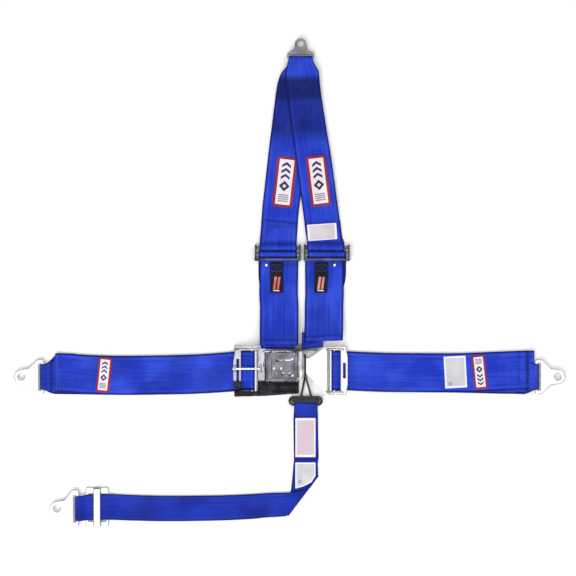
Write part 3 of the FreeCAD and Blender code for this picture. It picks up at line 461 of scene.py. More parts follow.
def metal(name, base, other, rough, grain, metallic=1.0, edge=0.0012, rim=None):
    """Plated or painted metal: cloudy tone, drawn grain and fine scratches. edge is the radius
    of its softened edges in metres, and rim the colour of the dark lines along them, painted shade for the
    reflection in those edges."""
    paint = Paint(name, base, rough, metallic)
    place = paint.place()
    clouds = paint.noise(place, 38, 3)
    lines = paint.noise(place, 420, 4, stretch=grain)
    marks = paint.noise(place, 130, 6, stretch=(1, 7, 1))
    tone = paint.plus(paint.times(clouds, 0.85), paint.times(lines, 0.15))
    color = paint.mix(paint.between(tone, 0.38, 0.66), base, other)
    # Painted shade: dark lines along the edges stand for the dark reflection in them.
    if rim:
        color = paint.painted_edge_shade(color, RIM_WIDTH, rim)
    paint.link("Base Color", color)
    paint.link("Roughness", paint.between(marks, 0.35, 0.7, rough * 0.75, rough * 1.35 + 0.02))
    paint.soften(edge)
    paint.bump(lines, 0.04, 0.0001)
    return paint.material


BLUE = webbing("webbing_blue", (0.008, 0.034, 0.52), (0.034, 0.088, 0.76), (0.001, 0.004, 0.085))
NAVY = webbing("webbing_deep", (0.003, 0.020, 0.34), (0.012, 0.042, 0.50), (0.001, 0.002, 0.055))
BLACK = webbing("webbing_black", (0.006, 0.006, 0.008), (0.016, 0.016, 0.019), (0.002, 0.002, 0.003))
THREAD = cloth("thread_blue", (0.03, 0.06, 0.62), (0.08, 0.12, 0.85), 0.0007, 0.5)
# Navy thread: the anti-submarine belt's own colour; on the right shoulder belt a darker copy of the blue
# thread, as painted shade.
THREAD_DARK = cloth("thread_navy", (0.008, 0.016, 0.25), (0.02, 0.035, 0.42), 0.0007, 0.5)
THREAD_RED = cloth("thread_red", (0.25, 0.003, 0.014), (0.38, 0.012, 0.028), 0.0016, 0.6)
TWILL = cloth("patch_white", (0.80, 0.70, 0.74), (0.88, 0.82, 0.84), 0.0010, 0.75)
INK = cloth("embroidery_navy", (0.006, 0.012, 0.085), (0.012, 0.028, 0.16), 0.0008, 0.5)
GREY = cloth("embroidery_grey", (0.20, 0.20, 0.27), (0.30, 0.30, 0.37), 0.0008, 0.6)
PRINT = cloth("print_rose", (0.55, 0.10, 0.09), (0.70, 0.30, 0.26), 0.0008, 0.6)
LABEL = cloth("label_white", (0.80, 0.80, 0.87), (0.88, 0.88, 0.92), 0.0007, 0.6)
FAINT = cloth("label_print", (0.62, 0.52, 0.55), (0.70, 0.62, 0.68), 0.0007, 0.6)
ROSE = cloth("label_rose", (0.66, 0.50, 0.56), (0.62, 0.55, 0.60), 0.0007, 0.6)
MOSS = cloth("label_grey", (0.56, 0.56, 0.60), (0.64, 0.63, 0.66), 0.0007, 0.6)

# ---- lap belts ----


def finish_soft(item, body, node):
    """Puts a piece on its body and hides the plain solid that it stands for, if there is one."""
    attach(item, body)
    if node:
        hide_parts(node)
    return item


def ramp(value, low, high):
    """0 below low, 1 above high, smooth between; low may be the larger."""
    t = min(1.0, max(0.0, (value - low) / (high - low)))
    return t * t * (3 - 2 * t)


def band(value, centre, reach):
    """1 at the centre, falling to 0 at the reach."""
    return max(0.0, 1 - abs(value - centre) / reach)


def drift(p, size, seed):
    """Slow unevenness of a belt's shade."""
    return noise.noise(Vector((p[0], p[1], seed * 31)) / size)


def lap_painted_shade(p):
    """Painted shade in the creases of the sewn end and on the layers below, over a slow random unevenness of
    the blue.
    """
    x = abs(p[0])
    shade = 0.30 * ramp(drift(p, 70, 1), 0.0, 0.5)
    shade = max(shade, 0.92 * band(x, 457, 6), 0.85 * ramp(x, 474, 477.5), 0.35 * band(x, 440, 4))
    if p[2] < 1.9:
        shade = max(shade, 0.7)
    return shade


def shoulder_painted_shade(p):
    """Painted shade where the two belts lie on each other and in the folds over the bars, over a slow random
    unevenness of the blue.
    """
    y = p[1]
    shade = 0.60 * ramp(y, 258, 300) * ramp(y, 402, 385) + 0.32 * ramp(y, 346, 360) * ramp(y, 402, 392)
    shade += 0.25 * ramp(drift(p, 45, 2), 0.0, 0.5)
    shade = max(shade, 0.55 * band(y, 76.5, 7), 0.9 * ramp(y, 64.5, 62), 0.35 * band(y, 112, 9))
    shade = max(shade, 0.75 * ramp(y, 431, 434))
    return min(shade, 0.9)


def tail_painted_shade(p):
    """Painted shade in the loop over the slide bar, at the hem and on the layers below, over a slow random
    unevenness of the blue.
    """
    y = p[1]
    shade = 0.28 * ramp(drift(p, 60, 3), 0.0, 0.5) + 0.22 * ramp(y, -60, -105)
    shade = max(shade, 0.9 * ramp(y, 57.5, 60), 0.8 * band(y, 49.8, 2.5), 0.35 * band(y, 36, 8))
    if p[2] < 2.0 or (y < -112 and p[2] < 10):
        shade = max(shade, 0.6)
    return min(shade, 0.9)


def sub_painted_shade(p):
    """Painted shade beside the fold and the crotch loop, over a slow random unevenness of the blue."""
    shade = 0.35 * ramp(drift(p, 60, 4), -0.1, 0.5)
    return min(0.9, shade + 0.4 * band(p[1], -258, 5) + 0.5 * band(p[1], -338.5, 5))


def lap_belt(name, s, anchor, latch, top_line, under_line, body, node):
    """A doubled lap belt: hemmed over its anchor loop, once round the latch bar and back below.
    s is 1 where the belt runs to +X from its anchor, and -1 where it runs to -X."""
    half = LAP_HALF
    level = node_box(node)[0].z + THICK / 2
    ax, ay = anchor
    lx, ly = latch

    def full(x, y, rise, free=0):
        """A full-width row at a height above the belt's lowest layer."""
        return even(x, y, level + rise, half, 90, free)

    def end(shift, lift, rise, right, left):
        """A row where the belt narrows towards the anchor."""
        return ax + s * shift, ay + lift, level + rise, right, left, 90, 0

    hem_x, hem_y = top_line[0]
    rows = [
        full(hem_x, hem_y, 3.6), full(hem_x + s * 8, hem_y, 3.4, 0.2), full(hem_x + s * 17, hem_y, 2.2, 0.3),
        full(hem_x + s * 30, hem_y - 0.4, THICK, 1),
    ]
    rows += [full(x, y, THICK, 1) for x, y in top_line[1:]]
    rows += [
        full(lx - s * 26, ly - 0.6, THICK, 0.6), full(lx - s * 11, ly, THICK + 1.0, 0.1),
        full(lx - s * 6, ly, THICK + 4.2),
    ]
    rows += rows_at(bar_arc(lx, ly, RING_Z, RING, 115, -90, (s, 0, 0), 10), half, half, 90)
    rows += [full(lx - s * 10, ly, 0)]
    rows += [full(x, y, 0, 0.3) for x, y in under_line]
    rows += [full(ax + s * 26, ay + 4, 0), end(14, 1, 0, 30, 32), end(6, 0, 0, 25.5, 27)]
    rows += rows_at(bar_arc(ax, ay, RING_Z, RING, 270, 75, (s, 0, 0), 10), 24.5, 25, 90)
    rows += [
        end(8, 0, 4.4, 26, 27), end(14, 0.5, 3.2, 28, 30), end(20, 1, 2.1, 30, 33), end(27, 3, 1.7, 33, 35),
        end(40, 4, 1.65, 34, 35),
    ]
    item, length = ribbon(name, rows, BLUE, half, seed=3 + s, tone=lap_painted_shade)
    return finish_soft(item, body, node), length


def cross_bar_centre(name):
    spot = middle(name)
    return spot.x, spot.y


LEFT_ANCHOR = (node_box("lap_strap_left")[0].x + LOOP_OUTER, middle("lap_anchor_left").y)
RIGHT_ANCHOR = (node_box("lap_strap_right")[1].x - LOOP_OUTER, middle("lap_anchor_right").y)
LEFT_BAR = cross_bar_centre("latch_cross_bar")
RIGHT_BAR = cross_bar_centre("link_cross_bar")

lap_left, lap_left_length = lap_belt(
    "web_lap_left", 1, LEFT_ANCHOR, LEFT_BAR,
    [(-450, -172.5), (-400, -175), (-321, -177.5), (-200, -175.5), (-112, -170)],
    [(-110, -171), (-200, -176), (-321, -177.5), (-400, -176.5)],
    "latch", "lap_strap_left",
)
lap_right, lap_right_length = lap_belt(
    "web_lap_right", -1, RIGHT_ANCHOR, RIGHT_BAR,
    [(470, -167.5), (400, -169.5), (311, -172.5), (200, -172), (126, -169.5)],
    [(126, -169.5), (200, -172), (311, -173), (400, -175)],
    "link", "lap_strap_right",
)

# ---- shoulder belts ----

# The bars that the shoulder belts go round, from the top down: anchor, adjuster, slide, tip.
ANCHOR_Y = 431.0
top_bar_y = node_box("adjuster_frame_left")[0].y + 25.5
slide_y = middle("adjuster_slide_bar_left").y
low_bar_y = node_box("adjuster_frame_left")[0].y + 2.5
TIP_Y = -121.5


def upper_belt_right():
    """From under the adjuster bar, up over the left belt, round the anchor and back below."""
    h = SHOULDER_HALF
    x = 69.5
    rows = [even(62.5, 126, 1.4, h, -8.5), even(66.5, 92, 1.5, h, -6)]
    rows += [even(x, 76, 1.6, h + 0.5)]
    over_bar = bar_arc(x, top_bar_y, RING_Z, RING + 0.4, -60, -270, (0, 1, 0), 12)
    rows += rows_at(over_bar, h + 0.8, h + 0.8, 0)
    rows += [even(x, top_bar_y + 5.5, 7.6, h + 0.5, -2), even(68, 81, 4.0, h, -6, 0.3)]
    rows += [
        even(66, 90, 3.7, h, -8, 0.8), even(62.5, 118, 4.0, h, -8.5, 1), even(59.6, 140, 4.4, h, -8.3, 1),
        even(55.3, 172, 5.2, h, -8, 1), even(49.5, 215, 5.4, h, -7.8, 1), even(43, 262, 5.2, h - 0.4, -8, 1),
        even(37, 300, 5.0, h - 0.6, -8.5, 1), (31.6, 340, 5.4, 33.4, 33.6, -7, 1),
        (27.4, 372, 6.6, 32.6, 33, -4, 0.7), (25, 392, 7.8, 32.6, 33, -1.5, 0.4),
        (23.8, 405, 8.4, 32.4, 31.5, 0, 0.2), (22.6, 415, 8.9, 28.5, 28, 0, 0),
        (21.8, 423, 9.3, 25.2, 25.4, 0, 0),
    ]
    rows += rows_at(bar_arc(21.5, ANCHOR_Y, RING_Z, RING, 95, -90, (0, 1, 0), 10), 22.6, 22.6, 0)
    rows += [even(21.5, 422, 1.2, 24), even(23, 400, 1.1, 31, -2), even(29, 350, 1.1, 33, -8)]
    return ribbon("web_shoulder_right", rows, BLUE, SHOULDER_HALF, seed=11, tone=shoulder_painted_shade)


def upper_belt_left():
    """From the adjuster bar up to the anchor, where it is sewn in below the right belt."""
    h = SHOULDER_HALF
    x = -21.7
    rows = [even(-19.4, 118, 3.4, h - 0.6, -6), even(-20.4, 100, 3.4, h - 0.4, -4)]
    rows += [even(-21.2, 84, 3.4, h, -1), even(x, top_bar_y + 8, 4.4, h + 0.4)]
    round_bar = bar_arc(x, top_bar_y, RING_Z, RING + 0.4, 60, 270, (0, 1, 0), 12)
    rows += rows_at(round_bar, h + 0.8, h + 0.8, 0)
    rows += [even(x, 78, 1.3, h + 0.3, -2)]
    rows += [
        even(-20.2, 100, 1.5, h, -5), even(-17.4, 140, 1.9, h, -6.5, 0.3),
        even(-13.8, 172, 2.2, h, -6.5, 0.8),
        even(-9, 215, 2.3, h, -6.5, 0.9), even(-3.6, 262, 2.4, h, -6.6, 0.8), even(1.4, 301, 2.6, h, -7, 0.6),
        even(6.4, 342, 3.0, h, -7, 0.3), even(10.6, 375, 3.6, 34.6, -8), (15, 397, 4.6, 33, 32, -8, 0),
        (18.5, 410, 5.6, 28, 26.6, -5, 0), even(20.5, 419, 6.3, 24), even(21.3, 424, 6.8, 21),
    ]
    return ribbon("web_shoulder_left", rows, BLUE, SHOULDER_HALF, seed=17, tone=shoulder_painted_shade)


def lower_belt(name, x, tail_x, tip_x, tip_half, spread, tail_end, tip_angle, wander, seed):
    """From the tip's bar up round the slide bar, then down over itself as the hemmed tail."""
    h = TAIL_HALF
    lean = (x - tip_x) * 0.28
    half_way = tip_half * 0.6 + h * 0.4
    hem_x = tail_x + wander[5]
    hem_angle = tip_angle * 0.12
    right, left = spread
    rows = [(tip_x, TIP_Y + 30, 6.6, tip_half + right, tip_half + left, tip_angle, 0)]
    rows += [(tip_x, TIP_Y + 14, 8.2, tip_half + right, tip_half + left, tip_angle, 0)]
    for i, spot in enumerate(bar_arc(tip_x, TIP_Y, RING_Z, RING, 90, 270, (0, 1, 0), 12)):
        share = ramp(i, 8.5, 5.5)
        rows.append((*spot, tip_half + right * share, tip_half + left * share, tip_angle * (1 - i / 12), 0))
    rows += [
        even(tip_x + lean * 1.1, TIP_Y + 16, 1.1, tip_half + 1, tip_angle),
        (tip_x + (x - tip_x) * 0.75, TIP_Y + 60, 1.1, half_way, half_way, tip_angle, 0),
        even(x, 20, 1.1, h), even(x, 46, 1.2, h),
    ]
    rows += rows_at(bar_arc(x, slide_y + 3.3, RING_Z, SLIDE_RING, -90, 90, (0, 1, 0), 8), h, h, 0)
    rows += rows_at(bar_arc(x, slide_y, RING_Z, SLIDE_RING, 95, 180, (0, 1, 0), 5), h, h, 0)
    rows += [even(x, low_bar_y + 3.4, 3.5, h), even(tail_x, low_bar_y - 1, 3.0, h)]
    for i, (y, z) in enumerate(((34, 3.0), (8, 3.1), (-20, 3.3), (-46, 4.6), (-74, 7.6), (-98, 9.7))):
        rows.append(even(tail_x + wander[i], y, z, h, 0, 1 if i > 0 else 0.3))
    rows += [
        even(hem_x, tail_end + 9, 10.2, h, hem_angle),
        even(hem_x, tail_end + 2, 10.4, h, hem_angle),
        even(hem_x, tail_end + 0.8, 11.2, h, hem_angle),
        even(hem_x, tail_end + 2, 12.05, h - 0.3, hem_angle),
        even(hem_x, tail_end + 9, 11.85, h - 0.3, hem_angle),
    ]
    return ribbon(name, rows, BLUE, TAIL_HALF, seed=seed, tone=tail_painted_shade)


upper_right, upper_right_length = upper_belt_right()
upper_left, upper_left_length = upper_belt_left()
lower_left, lower_left_length = lower_belt(
    "web_tail_left", -22.7, -20.3, -10, 17.5, (3, 28), -119, 0, (0, -0.5, -0.8, 0.4, 0.3, 0.2), 23
)
lower_right, lower_right_length = lower_belt(
    "web_tail_right", 71.5, 66.8, 37.5, 14.2, (13, 0), -111.4, 14, (0, 0.2, 0.4, -0.6, -0.8, -1.3), 29
)
finish_soft(upper_left, "shoulder", "upper_strap_left")
finish_soft(upper_right, "shoulder", "upper_strap_right")
finish_soft(lower_left, "shoulder", "lower_strap_left")
finish_soft(lower_right, "shoulder", "lower_strap_right")

# ---- anti-submarine belt ----


def sub_belt():
    """Down from the crotch loop, over on the diagonal, then left through the adjuster."""
    h = SUB_HALF
    x = 31.2
    bar = -233.8
    level = 1.1
    rows = [even(x, -257, level + 1.75, 23), even(x, -248, level + 1.8, 22.8)]
    rows += [even(x, bar - 6, level + 3.0, 22.4)]
    rows += rows_at(bar_arc(x, bar, 4.5, CROTCH_RING, 130, -90, (0, 1, 0), 12), 22.2, 22.2, 0)
    rows += [even(x, bar - 12, level, 22.8), even(x, -262, level, h, 0, 0.5)]
    rows += [even(x + 0.3, -300, level, h, 0, 0.8), (x + 0.9, -335, level, h + 0.3, h, 4, 0.6)]
    fold_a = Vector((55.0, -370, 0))
    fold_b = Vector((-3.5, -447, 0))
    line = fold_a - fold_b
    fold_angle = math.degrees(math.atan2(line.y, line.x))
    reach = line.length / 2
    spot = (fold_a + fold_b) / 2
    out = Vector((line.y, -line.x, 0)).normalized()
    rows += [
        even(30.6, -352, level, 24.3, 12, 0.4), even(29.6, -370, level, 28.5, 28, 0.2),
        even(28, -388, level, 35.5, 41), even(26.6, -400, level, 43, 49),
    ]
    for shift, rise in ((-1.5, 0), (0, 0.15), (0.7, 0.5), (1.0, 0.9), (0.7, 1.4), (0, 1.9), (-1.5, 2.0)):
        place = spot + out * shift
        rows.append(even(place.x, place.y, level + rise, reach, fold_angle))
    rows += [
        even(18.5, -418.3, level + 2.1, 38.2, 50), even(10.5, -422.3, level + 2.1, 32.3, 52.9),
        even(0.5, -424.5, level + 2.0, 27.5, 60.6), even(-15, -426, level + 1.8, 24.3, 73, 0.3),
        even(-34, -426.6, level + 1.6, 23.7, 80.3, 0.8), even(-80, -430.0, level + 1.3, h + 0.4, 87, 1),
        even(-150, -432.6, level + 1.0, h + 0.6, 89, 1), even(-230, -433.4, level + 1.0, h + 0.8, 90, 1),
        even(-300, -432, level + 1.0, h + 1, 91, 0.9), even(-335, -430.5, level + 1.6, h + 1.2, 91, 0.3),
        even(-345, -430, level + 3.3, h + 1.2, 91), even(-360, -430, level + 3.3, h + 1.2, 90),
        even(-388, -431, level + 3.4, h + 1, 90), even(-395, -432, level + 4.6, h + 0.5, 90),
        even(-401.5, -433, level + 7.4, h, 90),
    ]
    rows += rows_at(bar_arc(-407, -433, RING_Z, RING, 80, 270, (1, 0, 0), 12), h, h, 90)
    rows += [even(-401, -433, 1.1, h, 90), even(-394.5, -433, 1.1, h, 90)]
    return ribbon("web_sub", rows, NAVY, SUB_HALF, seed=41, tone=sub_painted_shade)


sub, sub_length = sub_belt()
finish_soft(sub, "sub_belt", "sub_strap")

# ---- patches, labels and pull tabs ----

# Height of a patch's underside above its belt, and the section of its rope edge.
SEAT = 0.02
ROPE = ((-1, 0.0), (-0.85, 0.6), (-0.3, 0.97), (0.3, 0.97), (0.85, 0.6), (1, 0.0))

ON_LAP_LEFT = surface_of(lap_left)
ON_LAP_RIGHT = surface_of(lap_right)
ON_UPPER_LEFT = surface_of(upper_left)
ON_UPPER_RIGHT = surface_of(upper_right)
ON_LOWER_LEFT = surface_of(lower_left)
ON_LOWER_RIGHT = surface_of(lower_right)
ON_SUB = surface_of(sub)


def rim_of(grid):
    """The outer places of a grid, in order round it."""
    right = [row[-1] for row in grid[1:-1]]
    left = [row[0] for row in grid[1:-1]]
    return grid[0] + right + grid[-1][::-1] + left[::-1]


class Patchwork:
    """Points and faces of a sewn-on piece, laid on a belt and turned to its place."""

    def __init__(self, centre, turn, height):
        self.centre = centre
        self.turn = turn
        self.height = height
        self.points = []
        self.faces = []
        self.picks = []

    def point(self, x, y, rise):
        px, py = turned(self.centre, self.turn, x, y)
        self.points.append((px, py, self.height(px, py) + rise))
        return len(self.points) - 1

    def face(self, corners, pick):
        self.faces.append(tuple(corners))
        self.picks.append(pick)

    def slab(self, width, length, low, high, pick, step=3.0):
        """A thin cloth rectangle that follows the belt."""
        nx = max(2, round(width / step))
        ny = max(2, round(length / step))
        layers = []
        for rise in (high, low):
            grid = []
            for j in range(ny + 1):
                y = -length / 2 + length * j / ny
                grid.append([self.point(-width / 2 + width * i / nx, y, rise) for i in range(nx + 1)])
            layers.append(grid)
        top, under = layers
        for j in range(ny):
            for i in range(nx):
                self.face((top[j][i], top[j][i + 1], top[j + 1][i + 1], top[j + 1][i]), pick)
                self.face((under[j + 1][i], under[j + 1][i + 1], under[j][i + 1], under[j][i]), pick)
        rim_top = rim_of(top)
        rim_under = rim_of(under)
        for i in range(len(rim_top)):
            k = (i + 1) % len(rim_top)
            self.face((rim_top[i], rim_under[i], rim_under[k], rim_top[k]), pick)

    def border(self, width, length, wide, tall, pick):
        """A merrowed edge: a flat rope of thread round the rectangle."""
        outline = rounded_outline(width - wide, length - wide, 2.5, 1.1)
        rings = []
        count = len(outline)
        for i, (x, y) in enumerate(outline):
            before = Vector(outline[i - 1])
            after = Vector(outline[(i + 1) % count])
            run = (after - before).normalized()
            out = Vector((run.y, -run.x))
            swell = 1.0 + (0.10 if i % 2 else -0.10)
            ring = []
            for across, rise in ROPE:
                spot = Vector((x, y)) + out * (across * wide / 2)
                ring.append(self.point(spot.x, spot.y, rise * tall * swell + SEAT))
            rings.append(ring)
        for i in range(count):
            one = rings[i]
            two = rings[(i + 1) % count]
            for m in range(6):
                n = (m + 1) % 6
                self.face((one[m], two[m], two[n], one[n]), pick)

    def raised(self, outline, low, high, pick):
        """A closed raised shape with a flat outline."""
        top = [self.point(x, y, high) for x, y in outline]
        under = [self.point(x, y, low) for x, y in outline]
        self.face(top, pick)
        self.face(under[::-1], pick)
        for i in range(len(outline)):
            k = (i + 1) % len(outline)
            self.face((top[i], under[i], under[k], top[k]), pick)

    def ring(self, x, y, outer, inner, low, high, pick, sides=28):
        loops = []
        for radius, rise in ((outer, low), (outer, high), (inner, high), (inner, low)):
            spots = [2 * math.pi * i / sides for i in range(sides)]
            loops.append(
                [self.point(x + radius * math.cos(a), y + radius * math.sin(a), rise) for a in spots]
            )
        for one, two in zip(loops, loops[1:] + loops[:1]):
            for i in range(sides):
                k = (i + 1) % sides
                self.face((one[i], one[k], two[k], two[i]), pick)

    def bar(self, x, y, width, length, low, high, pick):
        w = width / 2
        h = length / 2
        self.raised([(x - w, y - h), (x + w, y - h), (x + w, y + h), (x - w, y + h)], low, high, pick)

    def make(self, name, materials):
        return make_mesh(name, self.points, self.faces, materials, self.picks, smooth=False)


def rounded_outline(width, length, corner, step):
    """Places along a rounded rectangle, evenly spaced, an even number of them."""
    turns = []
    for cx, cy, first in ((1, -1, -90), (1, 1, 0), (-1, 1, 90), (-1, -1, 180)):
        for i in range(5):
            angle = math.radians(first + 90 * i / 4)
            x = cx * (width / 2 - corner) + corner * math.cos(angle)
            y = cy * (length / 2 - corner) + corner * math.sin(angle)
            turns.append(Vector((x, y)))
    turns.append(turns[0])
    total = sum((b - a).length for a, b in zip(turns, turns[1:]))
    count = 2 * round(total / step / 2)
    spots = []
    reach = 0.0
    index = 0
    gap = total / count
    for i in range(count):
        goal = gap * i
        while reach + (turns[index + 1] - turns[index]).length < goal:
            reach += (turns[index + 1] - turns[index]).length
            index += 1
        share = (goal - reach) / max((turns[index + 1] - turns[index]).length, 1e-6)
        spots.append(tuple(turns[index].lerp(turns[index + 1], share)))
    return spots


def chevron(x, y, width, tall, arm, flip):
    w = width / 2
    h = tall / 2 * flip
    a = arm * flip
    under = [(x - w, y - h), (x, y + h - a), (x + w, y - h)]
    return under + [(x + w, y - h + a), (x, y + h), (x - w, y - h + a)]


def emblem_patch(name, node, centre, size, turn, height, body, flip=1):
    """A red-edged white patch with a plain geometric motif and a block of grey bars."""
    width, length = size
    work = Patchwork(centre, turn, height)
    edge = 5.2 if width > 30 else 4.2
    work.slab(width - edge, length - edge, SEAT, 0.42, 0)
    work.border(width, length, edge, 0.95, 1)
    inner = width - 2 * edge
    span = length - 2 * edge
    mark = inner * 0.62
    for share in (0.38, 0.25, 0.12):
        outline = chevron(0, flip * span * share, mark, span * 0.13, span * 0.06, flip)
        work.raised(outline, 0.35, 0.72, 2)
    work.ring(0, flip * span * -0.09, mark * 0.60, mark * 0.24, 0.35, 0.72, 2, sides=4)
    for i in range(4):
        work.bar(0, flip * span * (-0.29 - 0.045 * i), mark * 1.15, span * 0.026, 0.35, 0.62, 3)
    return finish_soft(work.make(name, [TWILL, THREAD_RED, INK, GREY]), body, node)


def care_label(name, node, centre, size, turn, height, body, panel, lines, mark=None):
    """A woven label: white edge, tinted panel and faint ruled lines."""
    width, length = size
    work = Patchwork(centre, turn, height)
    work.slab(width, length, SEAT, 0.45, 0, 2.5)
    work.slab(width * 0.86, length * 0.88, 0.40, 0.50, 1, 2.5)
    chance = random.Random(len(name) * 7)
    for i in range(lines):
        share = (i + 0.5) / lines - 0.5
        wide = width * 0.74 * chance.uniform(0.82, 1.0)
        work.bar(0, -share * length * 0.78, wide, 0.7, 0.44, 0.54, 2)
    if mark:
        work.ring(mark[0], mark[1], 3.4, 1.7, 0.44, 0.60, 3)
    return finish_soft(work.make(name, [LABEL, panel, FAINT, GREY]), body, node)


patch_lap_left = emblem_patch(
    "patch_lap_left", "lap_patch_left", (-356.5, -176.5), (26, 67), -6, ON_LAP_LEFT, "latch"
)
patch_lap_right = emblem_patch(
    "patch_lap_right", "lap_patch_right", (365, -171), (26, 66), 6, ON_LAP_RIGHT, "link", flip=-1
)
patch_upper_left = emblem_patch(
    "patch_shoulder_left", "shoulder_patch_left", (-9.2, 194), (38, 97), -6.5, ON_UPPER_LEFT, "shoulder"
)
patch_upper_right = emblem_patch(
    "patch_shoulder_right", "shoulder_patch_right", (55.5, 196), (38, 97), 7, ON_UPPER_RIGHT, "shoulder"
)
label_upper = care_label(
    "label_shoulder", "shoulder_label", (62.8, 98), (56, 31), 4, ON_UPPER_RIGHT, "shoulder", FAINT, 5
)
label_lap = care_label(
    "label_lap", "lap_label", (318.6, -171), (42, 61), 3, ON_LAP_RIGHT, "link", MOSS, 9, (-11, -22)
)
label_sub = care_label(
    "label_sub_upper", "sub_label_upper", (30.6, -297), (38.5, 75), 0, ON_SUB, "sub_belt", ROSE, 10
)


def folded_label():
    """The lower label of the anti-submarine belt, cut along the fold."""
    work = Patchwork((0, 0), 0, lambda x, y: 1.9)
    outer = [(11.2, -345), (49.8, -345), (49.8, -371), (42, -383), (26, -391), (11.2, -395)]
    inner = [(13.6, -347.5), (47.4, -347.5), (47.4, -369.5), (40.5, -380), (25.5, -388), (13.6, -392)]
    work.raised(outer[::-1], 0.0, 0.36, 0)
    work.raised(inner[::-1], 0.3, 0.42, 1)
    for i in range(4):
        work.bar(30.5, -353 - 6.5 * i, 28 - i, 0.8, 0.38, 0.47, 2)
    work.ring(20, -381.5, 3.6, 2.0, 0.38, 0.5, 3)
    item = work.make("label_sub_lower", [LABEL, MOSS, FAINT, GREY])
    return finish_soft(item, "sub_belt", "sub_label_lower")


label_fold = folded_label()


def pull_tab(name, node, x, body, lean):
    """A doubled strip of narrow black webbing, folded at its end, with plain printed bars."""
    h = TAB_HALF
    low = -18.4
    rows = [
        even(x, 40, 4.75, h), even(x, 20, 4.7, h), even(x + lean, -8, 4.7, h),
        even(x + lean, low + 0.6, 4.75, h), even(x + lean, low, 5.2, h),
        even(x + lean, low + 0.6, 5.65, h), even(x + lean, -8, 5.7, h),
        even(x, 20, 5.75, h), even(x, 38, 5.75, h - 0.4),
    ]
    item, length = ribbon(name, rows, BLACK, h, thick=0.85, across=12, ripple=0)
    finish_soft(item, body, node)
    height = surface_of(item)
    work = Patchwork((x + lean * 0.7, 0), -3, height)
    for shift in (-4.5, 2.5):
        slant = [(shift - 2, -12), (shift + 2.5, -12), (shift + 4.5, 12), (shift, 12)]
        work.raised(slant, -0.02, 0.14, 0)
    work.bar(0, -14.6, 12, 2.0, -0.02, 0.14, 1)
    print_item = finish_soft(work.make(name + "_print", [PRINT, TWILL]), body, None)
    lines = box_lines(x - 9.5, 22, x + 9.5, 36, True)
    sewn = stitches(name + "_stitches", lines, height, THREAD, pitch=2.6, length=1.9, width=0.5)
    finish_soft(sewn, body, None)
    return item, length, [print_item, sewn]


tab_left, tab_left_length, tab_left_extra = pull_tab(
    "tab_left", "release_tab_left", middle("release_tab_left").x, "left_tab", 0.3
)
tab_right, tab_right_length, tab_right_extra = pull_tab(
    "tab_right", "release_tab_right", middle("release_tab_right").x, "right_tab", -0.8
)

# ---- painted shadow inside the crotch loop ----


def crotch_shadow_fill():
    """A black plate that fills the oval ring above the belt: a painted shadow inside the ring."""
    low, high = node_box("crotch_loop")
    spot = ((low.x + high.x) / 2, -225.4)
    work = Patchwork(spot, 0, lambda x, y: 4.5)
    outline = rounded_outline(high.x - low.x - 12, 9.4, 3.5, 2.2)
    work.raised(outline, -1.1, 1.1, 0)
    work.raised([(x * 0.95, y * 0.62) for x, y in outline], 1.0, 1.5, 0)
    return work.make("crotch_shadow_fill", [INKY])


# ---- stitching ----

SEAMS = (
    ("stitches_lap_left", "latch", ON_LAP_LEFT, THREAD,
     box_lines(-441, -203, -382, -145, True) + [((-447, -207), (-447, -139))]),
    ("stitches_lap_right", "link", ON_LAP_RIGHT, THREAD,
     box_lines(405, -199, 461, -139, True) + [((467, -203), (467, -133)), ((419, -202), (419, -137))]),
    ("stitches_shoulder_left", "shoulder", ON_UPPER_LEFT, THREAD,
     box_lines(-48, 84, 5, 112, True) + [((-49, 115.5), (9, 112.5))]),
    # The navy thread here is painted shade, a darker copy of the blue thread for the shaded part of the belt.
    ("stitches_shoulder_right", "shoulder", ON_UPPER_RIGHT, THREAD_DARK,
     box_lines(2, 346, 50, 396, True) + [((8, 405), (38, 405))]),
    ("stitches_tail_left", "shoulder", ON_LOWER_LEFT, THREAD,
     [((-55, -113.5), (14, -113.5)), ((-55, -110.8), (14, -110.8))]),
    ("stitches_tail_right", "shoulder", ON_LOWER_RIGHT, THREAD,
     [((32, -105.9), (101, -104.2)), ((32, -103.2), (101, -101.5))]),
    ("stitches_sub", "sub_belt", ON_SUB, THREAD_DARK,
     [((11, -253.5), (51, -253.5)), ((11, -250.8), (51, -250.8))]),
)
for seam, body, surface, thread, lines in SEAMS:
    finish_soft(stitches(seam, lines, surface, thread), body, None)

# ---- hardware ----


